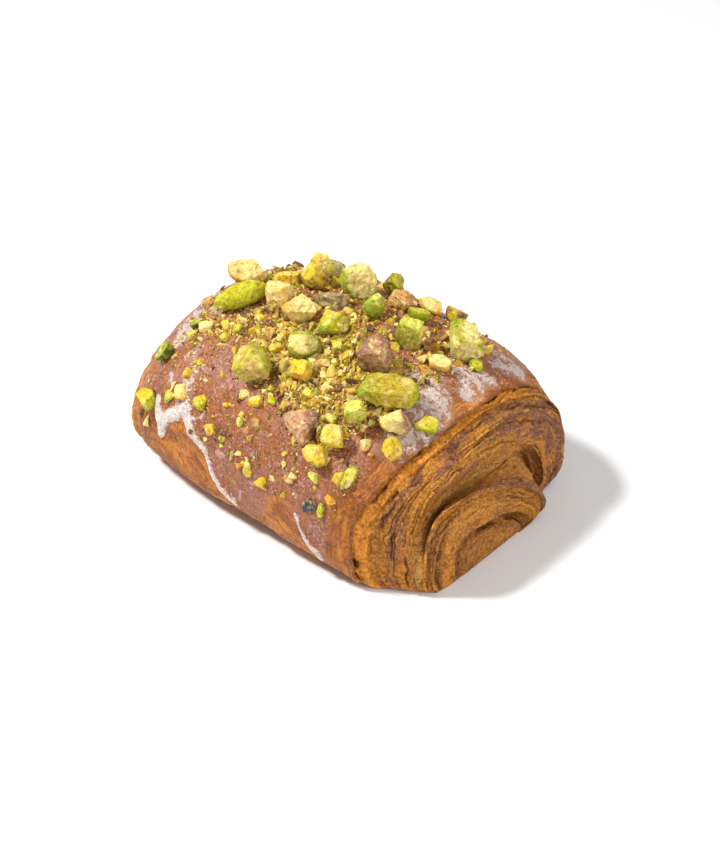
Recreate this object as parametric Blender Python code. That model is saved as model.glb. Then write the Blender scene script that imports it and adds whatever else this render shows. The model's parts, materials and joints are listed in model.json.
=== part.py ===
# A pain au chocolat with chopped pistachios: one baked roll of laminated dough, the larger pieces of
# kernel that lie on it, and the smaller bits that stick to its glaze.
#
# X runs along the roll, and +X is the end whose layers show best. Y runs across it, and -Y is the long
# near side. Z is up, and the roll rests on its own flat underside. All sizes are in metres.

import random
from collections import namedtuple
from math import pi, radians, sin

import bmesh
import bpy
import numpy as np
from mathutils import Euler, Matrix, Vector

# Driving sizes
ROLL_CENTRE = (-0.0034, 0.0028)  # the middle of the finished box, in the frame the sections are given in
SINK = 0.0012  # the foot is drawn this far below the table and cut off flat there
RING_POINTS = 52  # points round each section
BODY_STEPS = 4  # stations between two sections of the body
LAYER_STEPS = 3  # stations between two layers of an end
SHARP_ANGLE = 30  # degrees between two faces that meet in a crease
CLEARANCE = 0.00045  # air between a loose piece and the crust's tangent plane
SWELL = 0.0003  # height of the low swells in the crust
SWELL_FADE = 0.010  # the swells fade out below this height
SWELL_WAVES = [((150, 60, 0), 1.0), ((0, 120, -110), 2.0), ((-70, 0, 170), 0.0)]  # radians a metre, and phase
FOOT_STEP = 0.00005  # least step outwards on the table from one ring of an end to the next
LAYER_WAVE = 0.0005  # how far the layers of the ends wander along the roll
LAYER_RIPPLES = [(3, 1.7), (7, -2.3)]  # ripples round a layer, and how far each turns from layer to layer
OUTER_HEIGHT = 0.041  # a layer as high as this wanders by the whole of that, and a lower one by less
FLARE = (0.0018, -0.0024)  # how far the near corner of the right foot spreads, in x and y
FLARE_AT = (0.036, -0.027)
FLARE_REACH = 0.013
FLARE_HEIGHT = 0.009
FLARED_LAYERS = 3  # the layers of the right end that spread with it

# The crust between its two lips, then the layers of each end from the lip inwards. A section is an arch
# on a flat foot. along: x at the near side, crown, far side and foot. across: y at the near side, crown
# and far side. height: z of the crown and of the waist, where it is widest. roundness: of the near
# shoulder, far shoulder and foot, where 2 is an ellipse and more is squarer. groove: depth of the gap
# between this layer and the one before.
Section = namedtuple("Section", "along across height roundness groove")

BODY = [
    Section(
        (-0.0535, -0.0545, -0.0500, -0.0530), (-0.0330, -0.0010, 0.0340),
        (0.0395, 0.0150), (2.05, 2.15, 3.0), 0,
    ),
    Section(
        (-0.0480, -0.0490, -0.0460, -0.0480), (-0.0362, 0.0000, 0.0390),
        (0.0452, 0.0170), (2.15, 2.25, 3.0), 0,
    ),
    Section(
        (-0.0360, -0.0360, -0.0360, -0.0360), (-0.0380, 0.0010, 0.0425),
        (0.0495, 0.0180), (2.3, 2.3, 3.2), 0,
    ),
    Section(
        (-0.0100, -0.0100, -0.0100, -0.0100), (-0.0385, 0.0020, 0.0450),
        (0.0520, 0.0180), (2.35, 2.35, 3.6), 0,
    ),
    Section(
        (0.0140, 0.0140, 0.0140, 0.0140), (-0.0385, 0.0040, 0.0455),
        (0.0510, 0.0180), (2.35, 2.35, 4.0), 0,
    ),
    Section(
        (0.0270, 0.0300, 0.0320, 0.0260), (-0.0385, 0.0060, 0.0445),
        (0.0485, 0.0170), (2.35, 2.35, 4.0), 0,
    ),
    Section(
        (0.0330, 0.0405, 0.0445, 0.0310), (-0.0370, 0.0080, 0.0395),
        (0.0435, 0.0160), (2.3, 2.3, 5.0), 0,
    ),
]
RIGHT_LAYERS = {
    "outer ridge": Section(
        (0.0360, 0.0430, 0.0465, 0.0360), (-0.0335, 0.0070, 0.0405),
        (0.0410, 0.0150), (2.3, 2.3, 6.0), 0.0018,
    ),
    "second ridge": Section(
        (0.0395, 0.0455, 0.0480, 0.0430), (-0.0300, 0.0040, 0.0405),
        (0.0387, 0.0130), (2.4, 2.2, 5.0), 0.0015,
    ),
    "flaky edge": Section(
        (0.0450, 0.0480, 0.0470, 0.0490), (-0.0276, -0.0060, 0.0315),
        (0.0350, 0.0080), (3.0, 1.95, 3.6), 0.0010,
    ),
    "hollow": Section(
        (0.0492, 0.0450, 0.0395, 0.0500), (-0.0252, -0.0040, 0.0300),
        (0.0210, 0.0070), (3.4, 2.6, 4.0), 0,
    ),
    "inner roll": Section(
        (0.0496, 0.0520, 0.0535, 0.0505), (-0.0252, -0.0140, 0.0242),
        (0.0285, 0.0050), (4.0, 1.5, 2.5), 0,
    ),
    "inner sheet": Section(
        (0.0508, 0.0530, 0.0535, 0.0512), (-0.0234, -0.0150, 0.0210),
        (0.0243, 0.0045), (4.0, 1.45, 2.8), 0.0014,
    ),
    "roll's inner edge": Section(
        (0.0525, 0.0530, 0.0525, 0.0512), (-0.0158, -0.0070, 0.0180),
        (0.0152, 0.0025), (3.0, 1.5, 5.0), 0.0007,
    ),
    "slit": Section(
        (0.0505, 0.0480, 0.0480, 0.0510), (-0.0138, -0.0060, 0.0165),
        (0.0122, 0.0022), (2.6, 1.5, 6.0), 0,
    ),
    "tongue": Section(
        (0.0512, 0.0510, 0.0508, 0.0512), (-0.0118, -0.0050, 0.0150),
        (0.0100, 0.0020), (2.6, 1.5, 6.0), 0,
    ),
}
LEFT_LAYERS = {
    "outer ridge": Section(
        (-0.0570, -0.0575, -0.0540, -0.0570), (-0.0320, -0.0010, 0.0325),
        (0.0340, 0.0140), (2.05, 2.1, 3.0), 0.0012,
    ),
    "bulge": Section(
        (-0.0590, -0.0585, -0.0570, -0.0590), (-0.0298, -0.0010, 0.0300),
        (0.0288, 0.0130), (2.05, 2.1, 3.0), 0.0010,
    ),
    "hollow": Section(
        (-0.0565, -0.0560, -0.0560, -0.0570), (-0.0240, -0.0010, 0.0260),
        (0.0240, 0.0120), (2.2, 2.2, 4.0), 0,
    ),
    "inner roll": Section(
        (-0.0595, -0.0600, -0.0590, -0.0590), (-0.0190, -0.0010, 0.0220),
        (0.0195, 0.0090), (2.2, 2.2, 4.0), 0,
    ),
    "slit": Section(
        (-0.0560, -0.0555, -0.0560, -0.0570), (-0.0120, -0.0010, 0.0150),
        (0.0140, 0.0080), (2.2, 2.2, 4.0), 0,
    ),
}

# Each loose piece of kernel: its kind of cut, where it lies (x along the roll, and the angle round the
# crust in degrees, where 90 is the crown and 180 the near side), its length, width and height, its turn
# (yaw, pitch and roll in degrees against the crust), how far other pieces hold it up, and its seed.
Kernel = namedtuple("Kernel", "kind x around size turn lift seed")

KERNELS = [
    Kernel("chunk", -0.0428, 85, (0.0118, 0.0085, 0.0070), (35, 10, 0), 0, 11),
    Kernel("whole", -0.0345, 98, (0.0170, 0.0078, 0.0062), (68, 0, 0), 0, 12),
    Kernel("block", -0.0244, 93, (0.0075, 0.0082, 0.0086), (20, 0, 8), 0, 13),
    Kernel("chunk", -0.0160, 94, (0.0102, 0.0080, 0.0064), (45, 0, 0), 0, 14),
    Kernel("chunk", -0.0251, 76, (0.0085, 0.0080, 0.0078), (60, 10, 0), 0, 15),
    Kernel("whole", -0.0285, 59, (0.0105, 0.0056, 0.0048), (12, 0, 0), 0, 16),
    Kernel("chunk", -0.0350, 54, (0.0066, 0.0052, 0.0052), (30, 0, 0), 0, 17),
    Kernel("slab", -0.0335, 79, (0.0085, 0.0040, 0.0030), (40, 0, 0), 0, 18),
    Kernel("slab", -0.0132, 84, (0.0105, 0.0070, 0.0036), (38, 0, -12), 0.0006, 19),
    Kernel("chunk", -0.0037, 95, (0.0095, 0.0090, 0.0055), (80, 0, 0), 0, 20),
    Kernel("chunk", -0.0126, 71, (0.0112, 0.0092, 0.0088), (50, 0, 0), 0, 21),
    Kernel("chunk", -0.0090, 56, (0.0070, 0.0060, 0.0056), (70, 0, 0), 0, 22),
    Kernel("slab", 0.0010, 67, (0.0086, 0.0068, 0.0036), (15, 8, 10), 0, 23),
    Kernel("crescent", -0.0005, 81, (0.0095, 0.0050, 0.0058), (100, 0, 0), 0, 24),
    Kernel("half", 0.0085, 71, (0.0066, 0.0046, 0.0036), (25, 0, 0), 0, 25),
    Kernel("chunk", 0.0060, 59, (0.0084, 0.0054, 0.0044), (30, 0, 0), 0, 26),
    Kernel("half", 0.0125, 53, (0.0066, 0.0044, 0.0038), (35, 0, 0), 0, 27),
    Kernel("block", 0.0259, 76, (0.0112, 0.0082, 0.0080), (-35, 12, 0), 0, 28),
    Kernel("block", 0.0150, 87, (0.0072, 0.0060, 0.0090), (30, 0, 10), 0, 29),
    Kernel("end", 0.0145, 100, (0.0105, 0.0094, 0.0088), (-60, 0, 0), 0, 30),
    Kernel("half", 0.0266, 89, (0.0068, 0.0044, 0.0034), (20, 0, 0), 0, 31),
    Kernel("end", -0.0037, 108, (0.0086, 0.0076, 0.0064), (210, 0, 0), 0, 32),
    Kernel("end", -0.0126, 125, (0.0100, 0.0104, 0.0076), (-60, 10, 0), 0, 33),
    Kernel("slab", 0.0244, 109, (0.0168, 0.0108, 0.0052), (35, 0, -14), 0.0004, 34),
    Kernel("chunk", 0.0316, 117, (0.0090, 0.0070, 0.0058), (30, 0, 0), 0, 35),
    Kernel("slab", 0.0368, 110, (0.0060, 0.0046, 0.0028), (40, 0, 0), 0, 36),
    Kernel("wedge", 0.0355, 126, (0.0056, 0.0062, 0.0042), (60, 0, 0), 0, 37),
    Kernel("wedge", 0.0092, 139, (0.0104, 0.0098, 0.0048), (100, 0, 0), 0, 38),
    Kernel("block", 0.0221, 124, (0.0062, 0.0042, 0.0082), (60, 0, 0), 0, 39),
    Kernel("block", 0.0206, 136, (0.0060, 0.0060, 0.0056), (30, 0, 0), 0, 40),
    Kernel("chunk", 0.0180, 147, (0.0062, 0.0082, 0.0046), (100, 0, 0), 0, 41),
    Kernel("wedge", -0.0447, 162, (0.0062, 0.0060, 0.0034), (100, 0, 0), 0, 42),
    Kernel("half", -0.0447, 136, (0.0062, 0.0042, 0.0030), (70, 0, 0), 0, 43),
    Kernel("block", 0.0008, 119, (0.0054, 0.0064, 0.0056), (110, 0, 0), 0, 44),
]

# The smaller bits stuck to the glaze. Patches of them: x, angle round the crust, spread in x and in
# degrees, and how many are tried.
PATCHES = [
    (-0.030, 108, 0.008, 9, 40),
    (-0.012, 108, 0.010, 10, 70),
    (0.004, 112, 0.010, 10, 90),
    (0.014, 128, 0.008, 10, 60),
    (0.008, 76, 0.012, 10, 40),
    (-0.022, 70, 0.010, 10, 20),
    (-0.002, 140, 0.028, 16, 22),
    (-0.036, 145, 0.007, 14, 8),
]
BIT_SIZES = (0.0026, 0.0048)
BIT_WIDTH = (0.6, 1.0)  # least and greatest, as a share of the length
BIT_HEIGHT = (0.6, 0.9)
BIT_KINDS = ("chunk", "block", "wedge")
BIT_SEED = 7
BIT_SUNK = 0.4  # share of a bit's height that is inside the crust
BIT_ROOM = 0.0004  # least air between a bit and a loose piece
BIT_REACH = 0.5  # a bit keeps others off by this share of its length
BIT_ALONG = (-0.046, 0.034)  # bits stay between the lips
BIT_AROUND = (50, 168)  # and off its far side and foot

HALVINGS = 40  # steps of the search for a place along the roll
NEARBY = 0.02  # how far off, in radians and in spans, the points lie that give the crust's slope
CUT_SLANT = 0.18  # how far a knife cut leans from its plain direction
CRESCENT_BEND = 0.55  # how far the ends of a crescent bend aside

CRUST_COLOUR = (0.42, 0.19, 0.085, 1)
CRUST_ROUGHNESS = 0.4
NUT_ROUGHNESS = 0.55
KERNEL_COLOURS = [(0.55, 0.58, 0.16, 1), (0.70, 0.63, 0.27, 1), (0.33, 0.42, 0.05, 1)]


def arch(values, angles):
    """Points of one section: x, y and z for each angle, counted from the far side over the crown."""
    near_x, crown_x, far_x, foot_x, near_y, crown_y, far_y = values[:7]
    top, waist, near_round, far_round, foot_round = values[7:]
    across, up = np.cos(angles), np.sin(angles)
    far, upper = across >= 0, up >= 0
    shoulder = np.where(far, far_round, near_round)
    power = 2 / np.where(upper, shoulder, foot_round)
    half_width = np.where(far, far_y - crown_y, crown_y - near_y)
    y = crown_y + half_width * np.sign(across) * np.abs(across) ** power
    rise = np.where(upper, top - waist, waist + SINK)
    z = np.maximum(waist + rise * np.sign(up) * np.abs(up) ** power, 0)
    x = np.where(far, far_x, near_x) * across**2 + np.where(upper, crown_x, foot_x) * up**2
    return np.stack([x, y, z], axis=-1)


def values_of(section):
    return np.array([*section.along, *section.across, *section.height, *section.roundness])


BODY_VALUES = [values_of(section) for section in BODY]


def body_values(place):
    """The section at a place from 0, the left lip, to the number of spans, the right lip."""
    spans = len(BODY_VALUES) - 1
    index = min(int(place), spans - 1)
    part = place - index
    here, after = BODY_VALUES[index], BODY_VALUES[index + 1]
    before = BODY_VALUES[index - 1] if index > 0 else 2 * here - after
    beyond = BODY_VALUES[index + 2] if index + 1 < spans else 2 * after - here
    bend = 2 * before - 5 * here + 4 * after - beyond
    twist = 3 * here - before - 3 * after + beyond
    return here + 0.5 * part * ((after - before) + part * (bend + part * twist))


def swelled(points, centre_y, centre_z):
    """The crust's own low swells, which fade out towards the table."""
    x, y, z = points[..., 0], points[..., 1], points[..., 2]
    swell = sum(np.sin(x * rate[0] + y * rate[1] + z * rate[2] + phase) for rate, phase in SWELL_WAVES)
    height = SWELL * swell * np.clip(z / SWELL_FADE, 0, 1)
    outward = np.stack([np.zeros_like(y), y - centre_y, z - centre_z], axis=-1)
    outward /= np.linalg.norm(outward, axis=-1, keepdims=True) + 1e-9
    return points + outward * height[..., None]


def body_ring(place, angles):
    values = body_values(place)
    return swelled(arch(values, angles), values[5], values[8])


def layer_rings(lip_ring, layers, outward, angles):
    """Rings from a lip inwards over the layers of one end, with a groove before each layer."""
    rings = []
    before = lip_ring
    for number, section in enumerate(layers.values()):
        after = arch(values_of(section), angles)
        ripple = sum(np.sin(count * angles + turn * number) for count, turn in LAYER_RIPPLES)
        after[:, 0] += LAYER_WAVE * ripple * np.sin(angles).clip(0, 1) * section.height[0] / OUTER_HEIGHT
        for step in range(1, LAYER_STEPS + 1):
            part = step / LAYER_STEPS
            ring = before * (1 - part) + after * part
            ring[:, 0] -= outward * section.groove * sin(pi * part)
            rings.append(ring)
        before = after
    return rings


def flared(points):
    """The near corner of the right foot, where the bottom sheet spreads on the table."""
    from_corner = ((points[..., 0] - FLARE_AT[0]) ** 2 + (points[..., 1] - FLARE_AT[1]) ** 2) / FLARE_REACH**2
    weight = np.clip(1 - points[..., 2] / FLARE_HEIGHT, 0, 1) ** 1.5 * np.exp(-from_corner)
    points = points.copy()
    points[..., 0] += FLARE[0] * weight
    points[..., 1] += FLARE[1] * weight
    return points


def settle(lip_ring, rings, outward):
    """Keeps each layer's points on the table from lying behind those of the layer outside it."""
    before = lip_ring
    for ring in rings:
        low = ring[:, 2] <= 0
        least = outward * before[low, 0] + FOOT_STEP
        ring[low, 0] = outward * np.maximum(outward * ring[low, 0], least)
        before = ring


def roll_rings():
    angles = np.arange(RING_POINTS) * 2 * pi / RING_POINTS
    spans = len(BODY) - 1
    body = [body_ring(step / BODY_STEPS, angles) for step in range(spans * BODY_STEPS + 1)]
    left = layer_rings(body[0], LEFT_LAYERS, -1, angles)
    right = layer_rings(body[-1], RIGHT_LAYERS, 1, angles)
    body = [flared(ring) for ring in body]
    spread = FLARED_LAYERS * LAYER_STEPS
    right = [flared(ring) for ring in right[:spread]] + right[spread:]
    settle(body[0], left, -1)
    settle(body[-1], right, 1)
    return left[::-1] + body + right


def centred(point):
    return Vector((point[0] - ROLL_CENTRE[0], point[1] - ROLL_CENTRE[1], point[2]))


def new_object(name, form, collection, material):
    mesh = bpy.data.meshes.new(name)
    form.to_mesh(mesh)
    form.free()
    mesh.materials.append(material)
    mesh.shade_smooth()
    mesh.set_sharp_from_angle(angle=radians(SHARP_ANGLE))
    made = bpy.data.objects.new(name, mesh)
    collection.objects.link(made)
    return made


def roll(collection, material):
    """The baked roll as one closed skin through all its rings."""
    form = bmesh.new()
    rings = [[form.verts.new(centred(point)) for point in ring] for ring in roll_rings()]
    for first, second in zip(rings, rings[1:]):
        for here in range(RING_POINTS):
            after = (here + 1) % RING_POINTS
            form.faces.new((first[here], first[after], second[after], second[here]))
    for ring in (rings[0], rings[-1]):
        middle = form.verts.new(sum((vert.co for vert in ring), Vector()) / RING_POINTS)
        for here in range(RING_POINTS):
            form.faces.new((ring[here], ring[(here + 1) % RING_POINTS], middle))
    bmesh.ops.triangulate(form, faces=form.faces)
    bmesh.ops.recalc_face_normals(form, faces=form.faces)
    return new_object("pastry", form, collection, material)


def place_of(x):
    """The place along the body whose crown stands at x."""
    low, high = 0.0, float(len(BODY) - 1)
    for _ in range(HALVINGS):
        middle = (low + high) / 2
        if body_values(middle)[1] < x:
            low = middle
        else:
            high = middle
    return low


def crust_frame(x, around):
    """A matrix that stands on the crust: its Z is the outward normal, and its X looks along the roll."""
    place, angle = place_of(x), radians(around)
    here = body_ring(place, np.array([angle - NEARBY, angle, angle + NEARBY]))
    ahead = body_ring(place + NEARBY, np.array([angle]))[0]
    tangent = Vector(ahead - here[1])
    normal = tangent.cross(Vector(here[2] - here[0])).normalized()
    if normal.z < 0 and around < 180:
        normal.negate()
    forward = (Vector((1, 0, 0)) - normal * normal.x).normalized()
    turned = Matrix((forward, normal.cross(forward), normal)).transposed().to_4x4()
    return Matrix.Translation(centred(here[1])) @ turned


def cut_planes(kind, draw):
    """The knife cuts of a piece, as outward directions and distances from its middle."""
    cuts = {
        "whole": [((1, 0.2, 0.3), 0.86)],
        "half": [((0, 0, 1), 0.25), ((1, 0.3, 0), 0.8)],
        "end": [((1, 0, 0), 0.35), ((0.2, 0.3, 1), 0.85)],
        "slab": [((0, 0, 1), 0.42), ((0, 0, -1), 0.42), ((0, -1, 0), 0.62), ((-0.8, 0.6, 0), 0.8)],
        "block": [
            ((1, 0, 0), 0.6), ((-1, 0.3, 0), 0.7), ((0, 1, 0.2), 0.66), ((0, -1, 0), 0.6), ((0, 0, 1), 0.68),
        ],
        "wedge": [((0.7, 0, 0.7), 0.35), ((-0.8, 0.5, 0.3), 0.5), ((0, -1, 0.2), 0.6)],
        "chunk": [
            ((0.9, 0.3, 0.3), 0.55), ((-0.6, 0.7, 0.4), 0.6), ((0.1, -0.8, 0.5), 0.55), ((0, 0.2, 1), 0.62),
        ],
        "crescent": [((0, 0, 1), 0.7), ((1, 0, 0), 0.9)],
    }[kind]
    planes = []
    for direction, distance in cuts:
        slanted = Vector([part + draw.uniform(-CUT_SLANT, CUT_SLANT) for part in direction]).normalized()
        planes.append((slanted, distance * draw.uniform(0.9, 1.1)))
    return planes


def kernel_form(kind, size, seed, fineness):
    """A piece of kernel about its own middle: a ball cut flat by each plane and drawn out to its size."""
    draw = random.Random(seed)
    planes = cut_planes(kind, draw)
    form = bmesh.new()
    bmesh.ops.create_icosphere(form, subdivisions=fineness, radius=1)
    for vert in form.verts:
        reach = 1.0
        for direction, distance in planes:
            facing = vert.co.dot(direction)
            if facing > 0:
                reach = min(reach, distance / facing)
        vert.co *= reach
        if kind == "crescent":
            vert.co.y += CRESCENT_BEND * vert.co.x**2
    low = Vector([min(vert.co[axis] for vert in form.verts) for axis in range(3)])
    high = Vector([max(vert.co[axis] for vert in form.verts) for axis in range(3)])
    for vert in form.verts:
        for axis in range(3):
            share = (vert.co[axis] - low[axis]) / (high[axis] - low[axis])
            vert.co[axis] = (share - 0.5) * size[axis]
    return form


def stand(form, frame, turn, height):
    """Turns a piece, stands its lowest point at a height above the crust, and puts it in place."""
    yaw, pitch, roll_angle = (radians(angle) for angle in turn)
    bmesh.ops.transform(form, matrix=Euler((roll_angle, pitch, yaw)).to_matrix().to_4x4(), verts=form.verts)
    lowest = min(vert.co.z for vert in form.verts)
    bmesh.ops.transform(form, matrix=frame @ Matrix.Translation((0, 0, height - lowest)), verts=form.verts)


def kernels(collection, materials):
    for number, kernel in enumerate(KERNELS, start=1):
        form = kernel_form(kernel.kind, kernel.size, kernel.seed, fineness=2)
        stand(form, crust_frame(kernel.x, kernel.around), kernel.turn, CLEARANCE + kernel.lift)
        new_object(f"pistachio_{number:02d}", form, collection, materials[number % len(materials)])


def covered(point, reach):
    """Whether a bit at a point would touch the oval that some loose piece covers."""
    for kernel in KERNELS:
        across = Matrix.Rotation(radians(kernel.turn[0]), 4, "Z")
        local = (crust_frame(kernel.x, kernel.around) @ across).inverted() @ point
        room = reach + BIT_ROOM
        if (local.x / (kernel.size[0] / 2 + room)) ** 2 + (local.y / (kernel.size[1] / 2 + room)) ** 2 < 1:
            return True
    return False


def bits(collection, material):
    """The small bits, each where there is room between the loose pieces and the bits before it."""
    draw = random.Random(BIT_SEED)
    taken = []
    for x, around, spread_x, spread_around, tries in PATCHES:
        for _ in range(tries):
            at_x, at_around = draw.gauss(x, spread_x), draw.gauss(around, spread_around)
            length = draw.uniform(*BIT_SIZES)
            size = (length, length * draw.uniform(*BIT_WIDTH), length * draw.uniform(*BIT_HEIGHT))
            turn = (draw.uniform(0, 360), 0, 0)
            if not (BIT_ALONG[0] < at_x < BIT_ALONG[1] and BIT_AROUND[0] < at_around < BIT_AROUND[1]):
                continue
            frame = crust_frame(at_x, at_around)
            middle, reach = frame.translation, length * BIT_REACH
            if any((middle - other).length < reach + other_reach for other, other_reach in taken):
                continue
            if covered(middle, reach):
                continue
            taken.append((middle, reach))
            kind = BIT_KINDS[len(taken) % len(BIT_KINDS)]
            form = kernel_form(kind, size, BIT_SEED * 100 + len(taken), fineness=1)
            stand(form, frame, turn, -BIT_SUNK * size[2])
            new_object(f"bit_{len(taken):03d}", form, collection, material)


def join(target, collection):
    """Joins all of a collection's objects to one body, and removes them."""
    union = target.modifiers.new("bits", "BOOLEAN")
    union.operation = "UNION"
    union.operand_type = "COLLECTION"
    union.collection = collection
    union.solver = "MANIFOLD"
    evaluated = target.evaluated_get(bpy.context.evaluated_depsgraph_get())
    joined = bpy.data.meshes.new_from_object(evaluated)
    target.modifiers.remove(union)
    target.data = joined
    joined.set_sharp_from_angle(angle=radians(SHARP_ANGLE))
    for piece in list(collection.objects):
        bpy.data.objects.remove(piece)
    bpy.data.collections.remove(collection)


def new_material(name, colour, roughness):
    material = bpy.data.materials.new(name)
    material.use_nodes = True
    shader = material.node_tree.nodes["Principled BSDF"]
    shader.inputs["Base Color"].default_value = colour
    shader.inputs["Roughness"].default_value = roughness
    shader.inputs["Metallic"].default_value = 0
    material.diffuse_color = colour
    return material


def new_collection(name):
    collection = bpy.data.collections.new(name)
    bpy.context.scene.collection.children.link(collection)
    return collection


def main():
    for old in list(bpy.data.objects):
        bpy.data.objects.remove(old)
    whole = new_collection("pain_au_chocolat")
    loose_bits = new_collection("bits")
    crust = new_material("crust", CRUST_COLOUR, CRUST_ROUGHNESS)
    nut_materials = [new_material("pistachio", colour, NUT_ROUGHNESS) for colour in KERNEL_COLOURS]
    pastry = roll(whole, crust)
    bits(loose_bits, crust)
    join(pastry, loose_bits)
    kernels(whole, nut_materials)


main()
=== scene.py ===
# A pain au chocolat with chopped pistachios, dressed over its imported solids: the glazed crust, the two
# rolled ends, each loose piece of nut, the bits stuck to the glaze, and the crumbs between them.
import json
import random
from functools import cache
from math import cos, pi, radians, sin

import bmesh
import bpy
import numpy as np
from mathutils import Euler, Matrix, Vector

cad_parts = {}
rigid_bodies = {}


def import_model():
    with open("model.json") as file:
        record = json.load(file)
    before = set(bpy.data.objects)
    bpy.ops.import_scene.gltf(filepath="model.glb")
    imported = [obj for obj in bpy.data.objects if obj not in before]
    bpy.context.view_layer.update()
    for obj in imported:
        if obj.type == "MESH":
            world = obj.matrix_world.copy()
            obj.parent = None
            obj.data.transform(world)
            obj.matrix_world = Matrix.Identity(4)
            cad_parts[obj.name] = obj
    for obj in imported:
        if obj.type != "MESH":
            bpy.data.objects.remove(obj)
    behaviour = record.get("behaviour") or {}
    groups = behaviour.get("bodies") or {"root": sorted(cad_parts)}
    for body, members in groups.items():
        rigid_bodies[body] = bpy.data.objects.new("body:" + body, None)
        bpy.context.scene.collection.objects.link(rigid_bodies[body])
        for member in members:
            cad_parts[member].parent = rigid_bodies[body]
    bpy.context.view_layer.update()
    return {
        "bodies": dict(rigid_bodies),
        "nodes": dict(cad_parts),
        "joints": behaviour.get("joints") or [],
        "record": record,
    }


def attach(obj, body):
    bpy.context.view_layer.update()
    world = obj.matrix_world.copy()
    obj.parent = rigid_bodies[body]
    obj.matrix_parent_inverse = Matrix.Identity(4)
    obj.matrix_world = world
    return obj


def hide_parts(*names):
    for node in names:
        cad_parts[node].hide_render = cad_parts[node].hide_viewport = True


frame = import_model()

mm = 0.001
azimuth, elevation = 41, 37.5  # where the photo looks from: degrees round from the near side, and up
towardsRight = np.array([cos(radians(azimuth)), sin(radians(azimuth)), 0])
towardsViewer = np.array([
    sin(radians(azimuth)) * cos(radians(elevation)),
    -cos(radians(azimuth)) * cos(radians(elevation)),
    sin(radians(elevation)),
])
towardsTop = np.cross(towardsViewer, towardsRight)

# The roll, as in the CAD. A section is an arch on a flat foot, in mm: x at the near side, crown, far side
# and foot, y at the near side, crown and far side, z of the crown and of the waist, and then how square
# the near shoulder, far shoulder and foot are. A layer of an end adds the depth of the gap before it.
roll = {
    "centre": (-3.4, 2.8),
    "sink": 1.2,
    "swell": 0.3,
    "swellFade": 10,
    "swellWaves": [((0.15, 0.06, 0), 1.0), ((0, 0.12, -0.11), 2.0), ((-0.07, 0, 0.17), 0.0)],
    "layerWave": 0.5,
    "layerRipples": [(3, 1.7), (7, -2.3)],
    "outerHeight": 41,
    "flare": (1.8, -2.4),
    "flareAt": (36, -27),
    "flareReach": 13,
    "flareHeight": 9,
    "baseLine": 51.8,
    "body": [
        (-53.5, -54.5, -50, -53, -33, -1, 34, 39.5, 15, 2.05, 2.15, 3),
        (-48, -49, -46, -48, -36.2, 0, 39, 45.2, 17, 2.15, 2.25, 3),
        (-36, -36, -36, -36, -38, 1, 42.5, 49.5, 18, 2.3, 2.3, 3.2),
        (-10, -10, -10, -10, -38.5, 2, 45, 52, 18, 2.35, 2.35, 3.6),
        (14, 14, 14, 14, -38.5, 4, 45.5, 51, 18, 2.35, 2.35, 4),
        (27, 30, 32, 26, -38.5, 6, 44.5, 48.5, 17, 2.35, 2.35, 4),
        (33, 40.5, 44.5, 31, -37, 8, 39.5, 43.5, 16, 2.3, 2.3, 5),
    ],
    "right": {
        "outer ridge": (36, 43, 46.5, 36, -33.5, 7, 40.5, 41, 15, 2.3, 2.3, 6, 1.8),
        "second ridge": (39.5, 45.5, 48, 43, -30, 4, 40.5, 38.7, 13, 2.4, 2.2, 5, 1.5),
        "flaky edge": (45, 48, 47, 49, -27.6, -6, 31.5, 35, 8, 3, 1.95, 3.6, 1.0),
        "hollow": (49.2, 45, 39.5, 50, -25.2, -4, 30, 21, 7, 3.4, 2.6, 4, 0),
        "inner roll": (49.6, 52, 53.5, 50.5, -25.2, -14, 24.2, 28.5, 5, 4, 1.5, 2.5, 0),
        "inner sheet": (50.8, 53, 53.5, 51.2, -23.4, -15, 21, 24.3, 4.5, 4, 1.45, 2.8, 1.4),
        "roll's inner edge": (52.5, 53, 52.5, 51.2, -15.8, -7, 18, 15.2, 2.5, 3, 1.5, 5, 0.7),
        "slit": (50.5, 48, 48, 51, -13.8, -6, 16.5, 12.2, 2.2, 2.6, 1.5, 6, 0),
        "tongue": (51.2, 51, 50.8, 51.2, -11.8, -5, 15, 10, 2, 2.6, 1.5, 6, 0),
    },
    "left": {
        "outer ridge": (-57, -57.5, -54, -57, -32, -1, 32.5, 34, 14, 2.05, 2.1, 3, 1.2),
        "bulge": (-59, -58.5, -57, -59, -29.8, -1, 30, 28.8, 13, 2.05, 2.1, 3, 1.0),
        "hollow": (-56.5, -56, -56, -57, -24, -1, 26, 24, 12, 2.2, 2.2, 4, 0),
        "inner roll": (-59.5, -60, -59, -59, -19, -1, 22, 19.5, 9, 2.2, 2.2, 4, 0),
        "slit": (-56, -55.5, -56, -57, -12, -1, 15, 14, 8, 2.2, 2.2, 4, 0),
    },
}
bodyTable = np.array(roll["body"])
lastPlace = len(bodyTable) - 1
sides = {"left": (-1, 0.0), "right": (1, float(lastPlace))}  # which way an end faces, and its lip's place


# Smooth noise between -1 and 1, with one cell to a unit.
def cellNoise(points, seed):
    cells = 64
    table = np.random.default_rng(seed).uniform(-1, 1, (cells, cells, cells))
    low = np.floor(points).astype(int)
    part = points - low
    part = part * part * (3 - 2 * part)
    low %= cells
    high = (low + 1) % cells
    total = 0
    for corner in range(8):
        picks = [(corner >> axis) & 1 for axis in range(3)]
        index = tuple(np.where(picks[axis], high[..., axis], low[..., axis]) for axis in range(3))
        weight = 1
        for axis in range(3):
            weight = weight * (part[..., axis] if picks[axis] else 1 - part[..., axis])
        total = total + weight * table[index]
    return total


def layeredNoise(points, octaves, seed):
    return sum(cellNoise(points * 2**octave, seed + octave) / 2**octave for octave in range(octaves))


def smoothStep(low, high, value):
    part = np.clip((value - low) / (high - low), 0, 1)
    return part * part * (3 - 2 * part)


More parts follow.
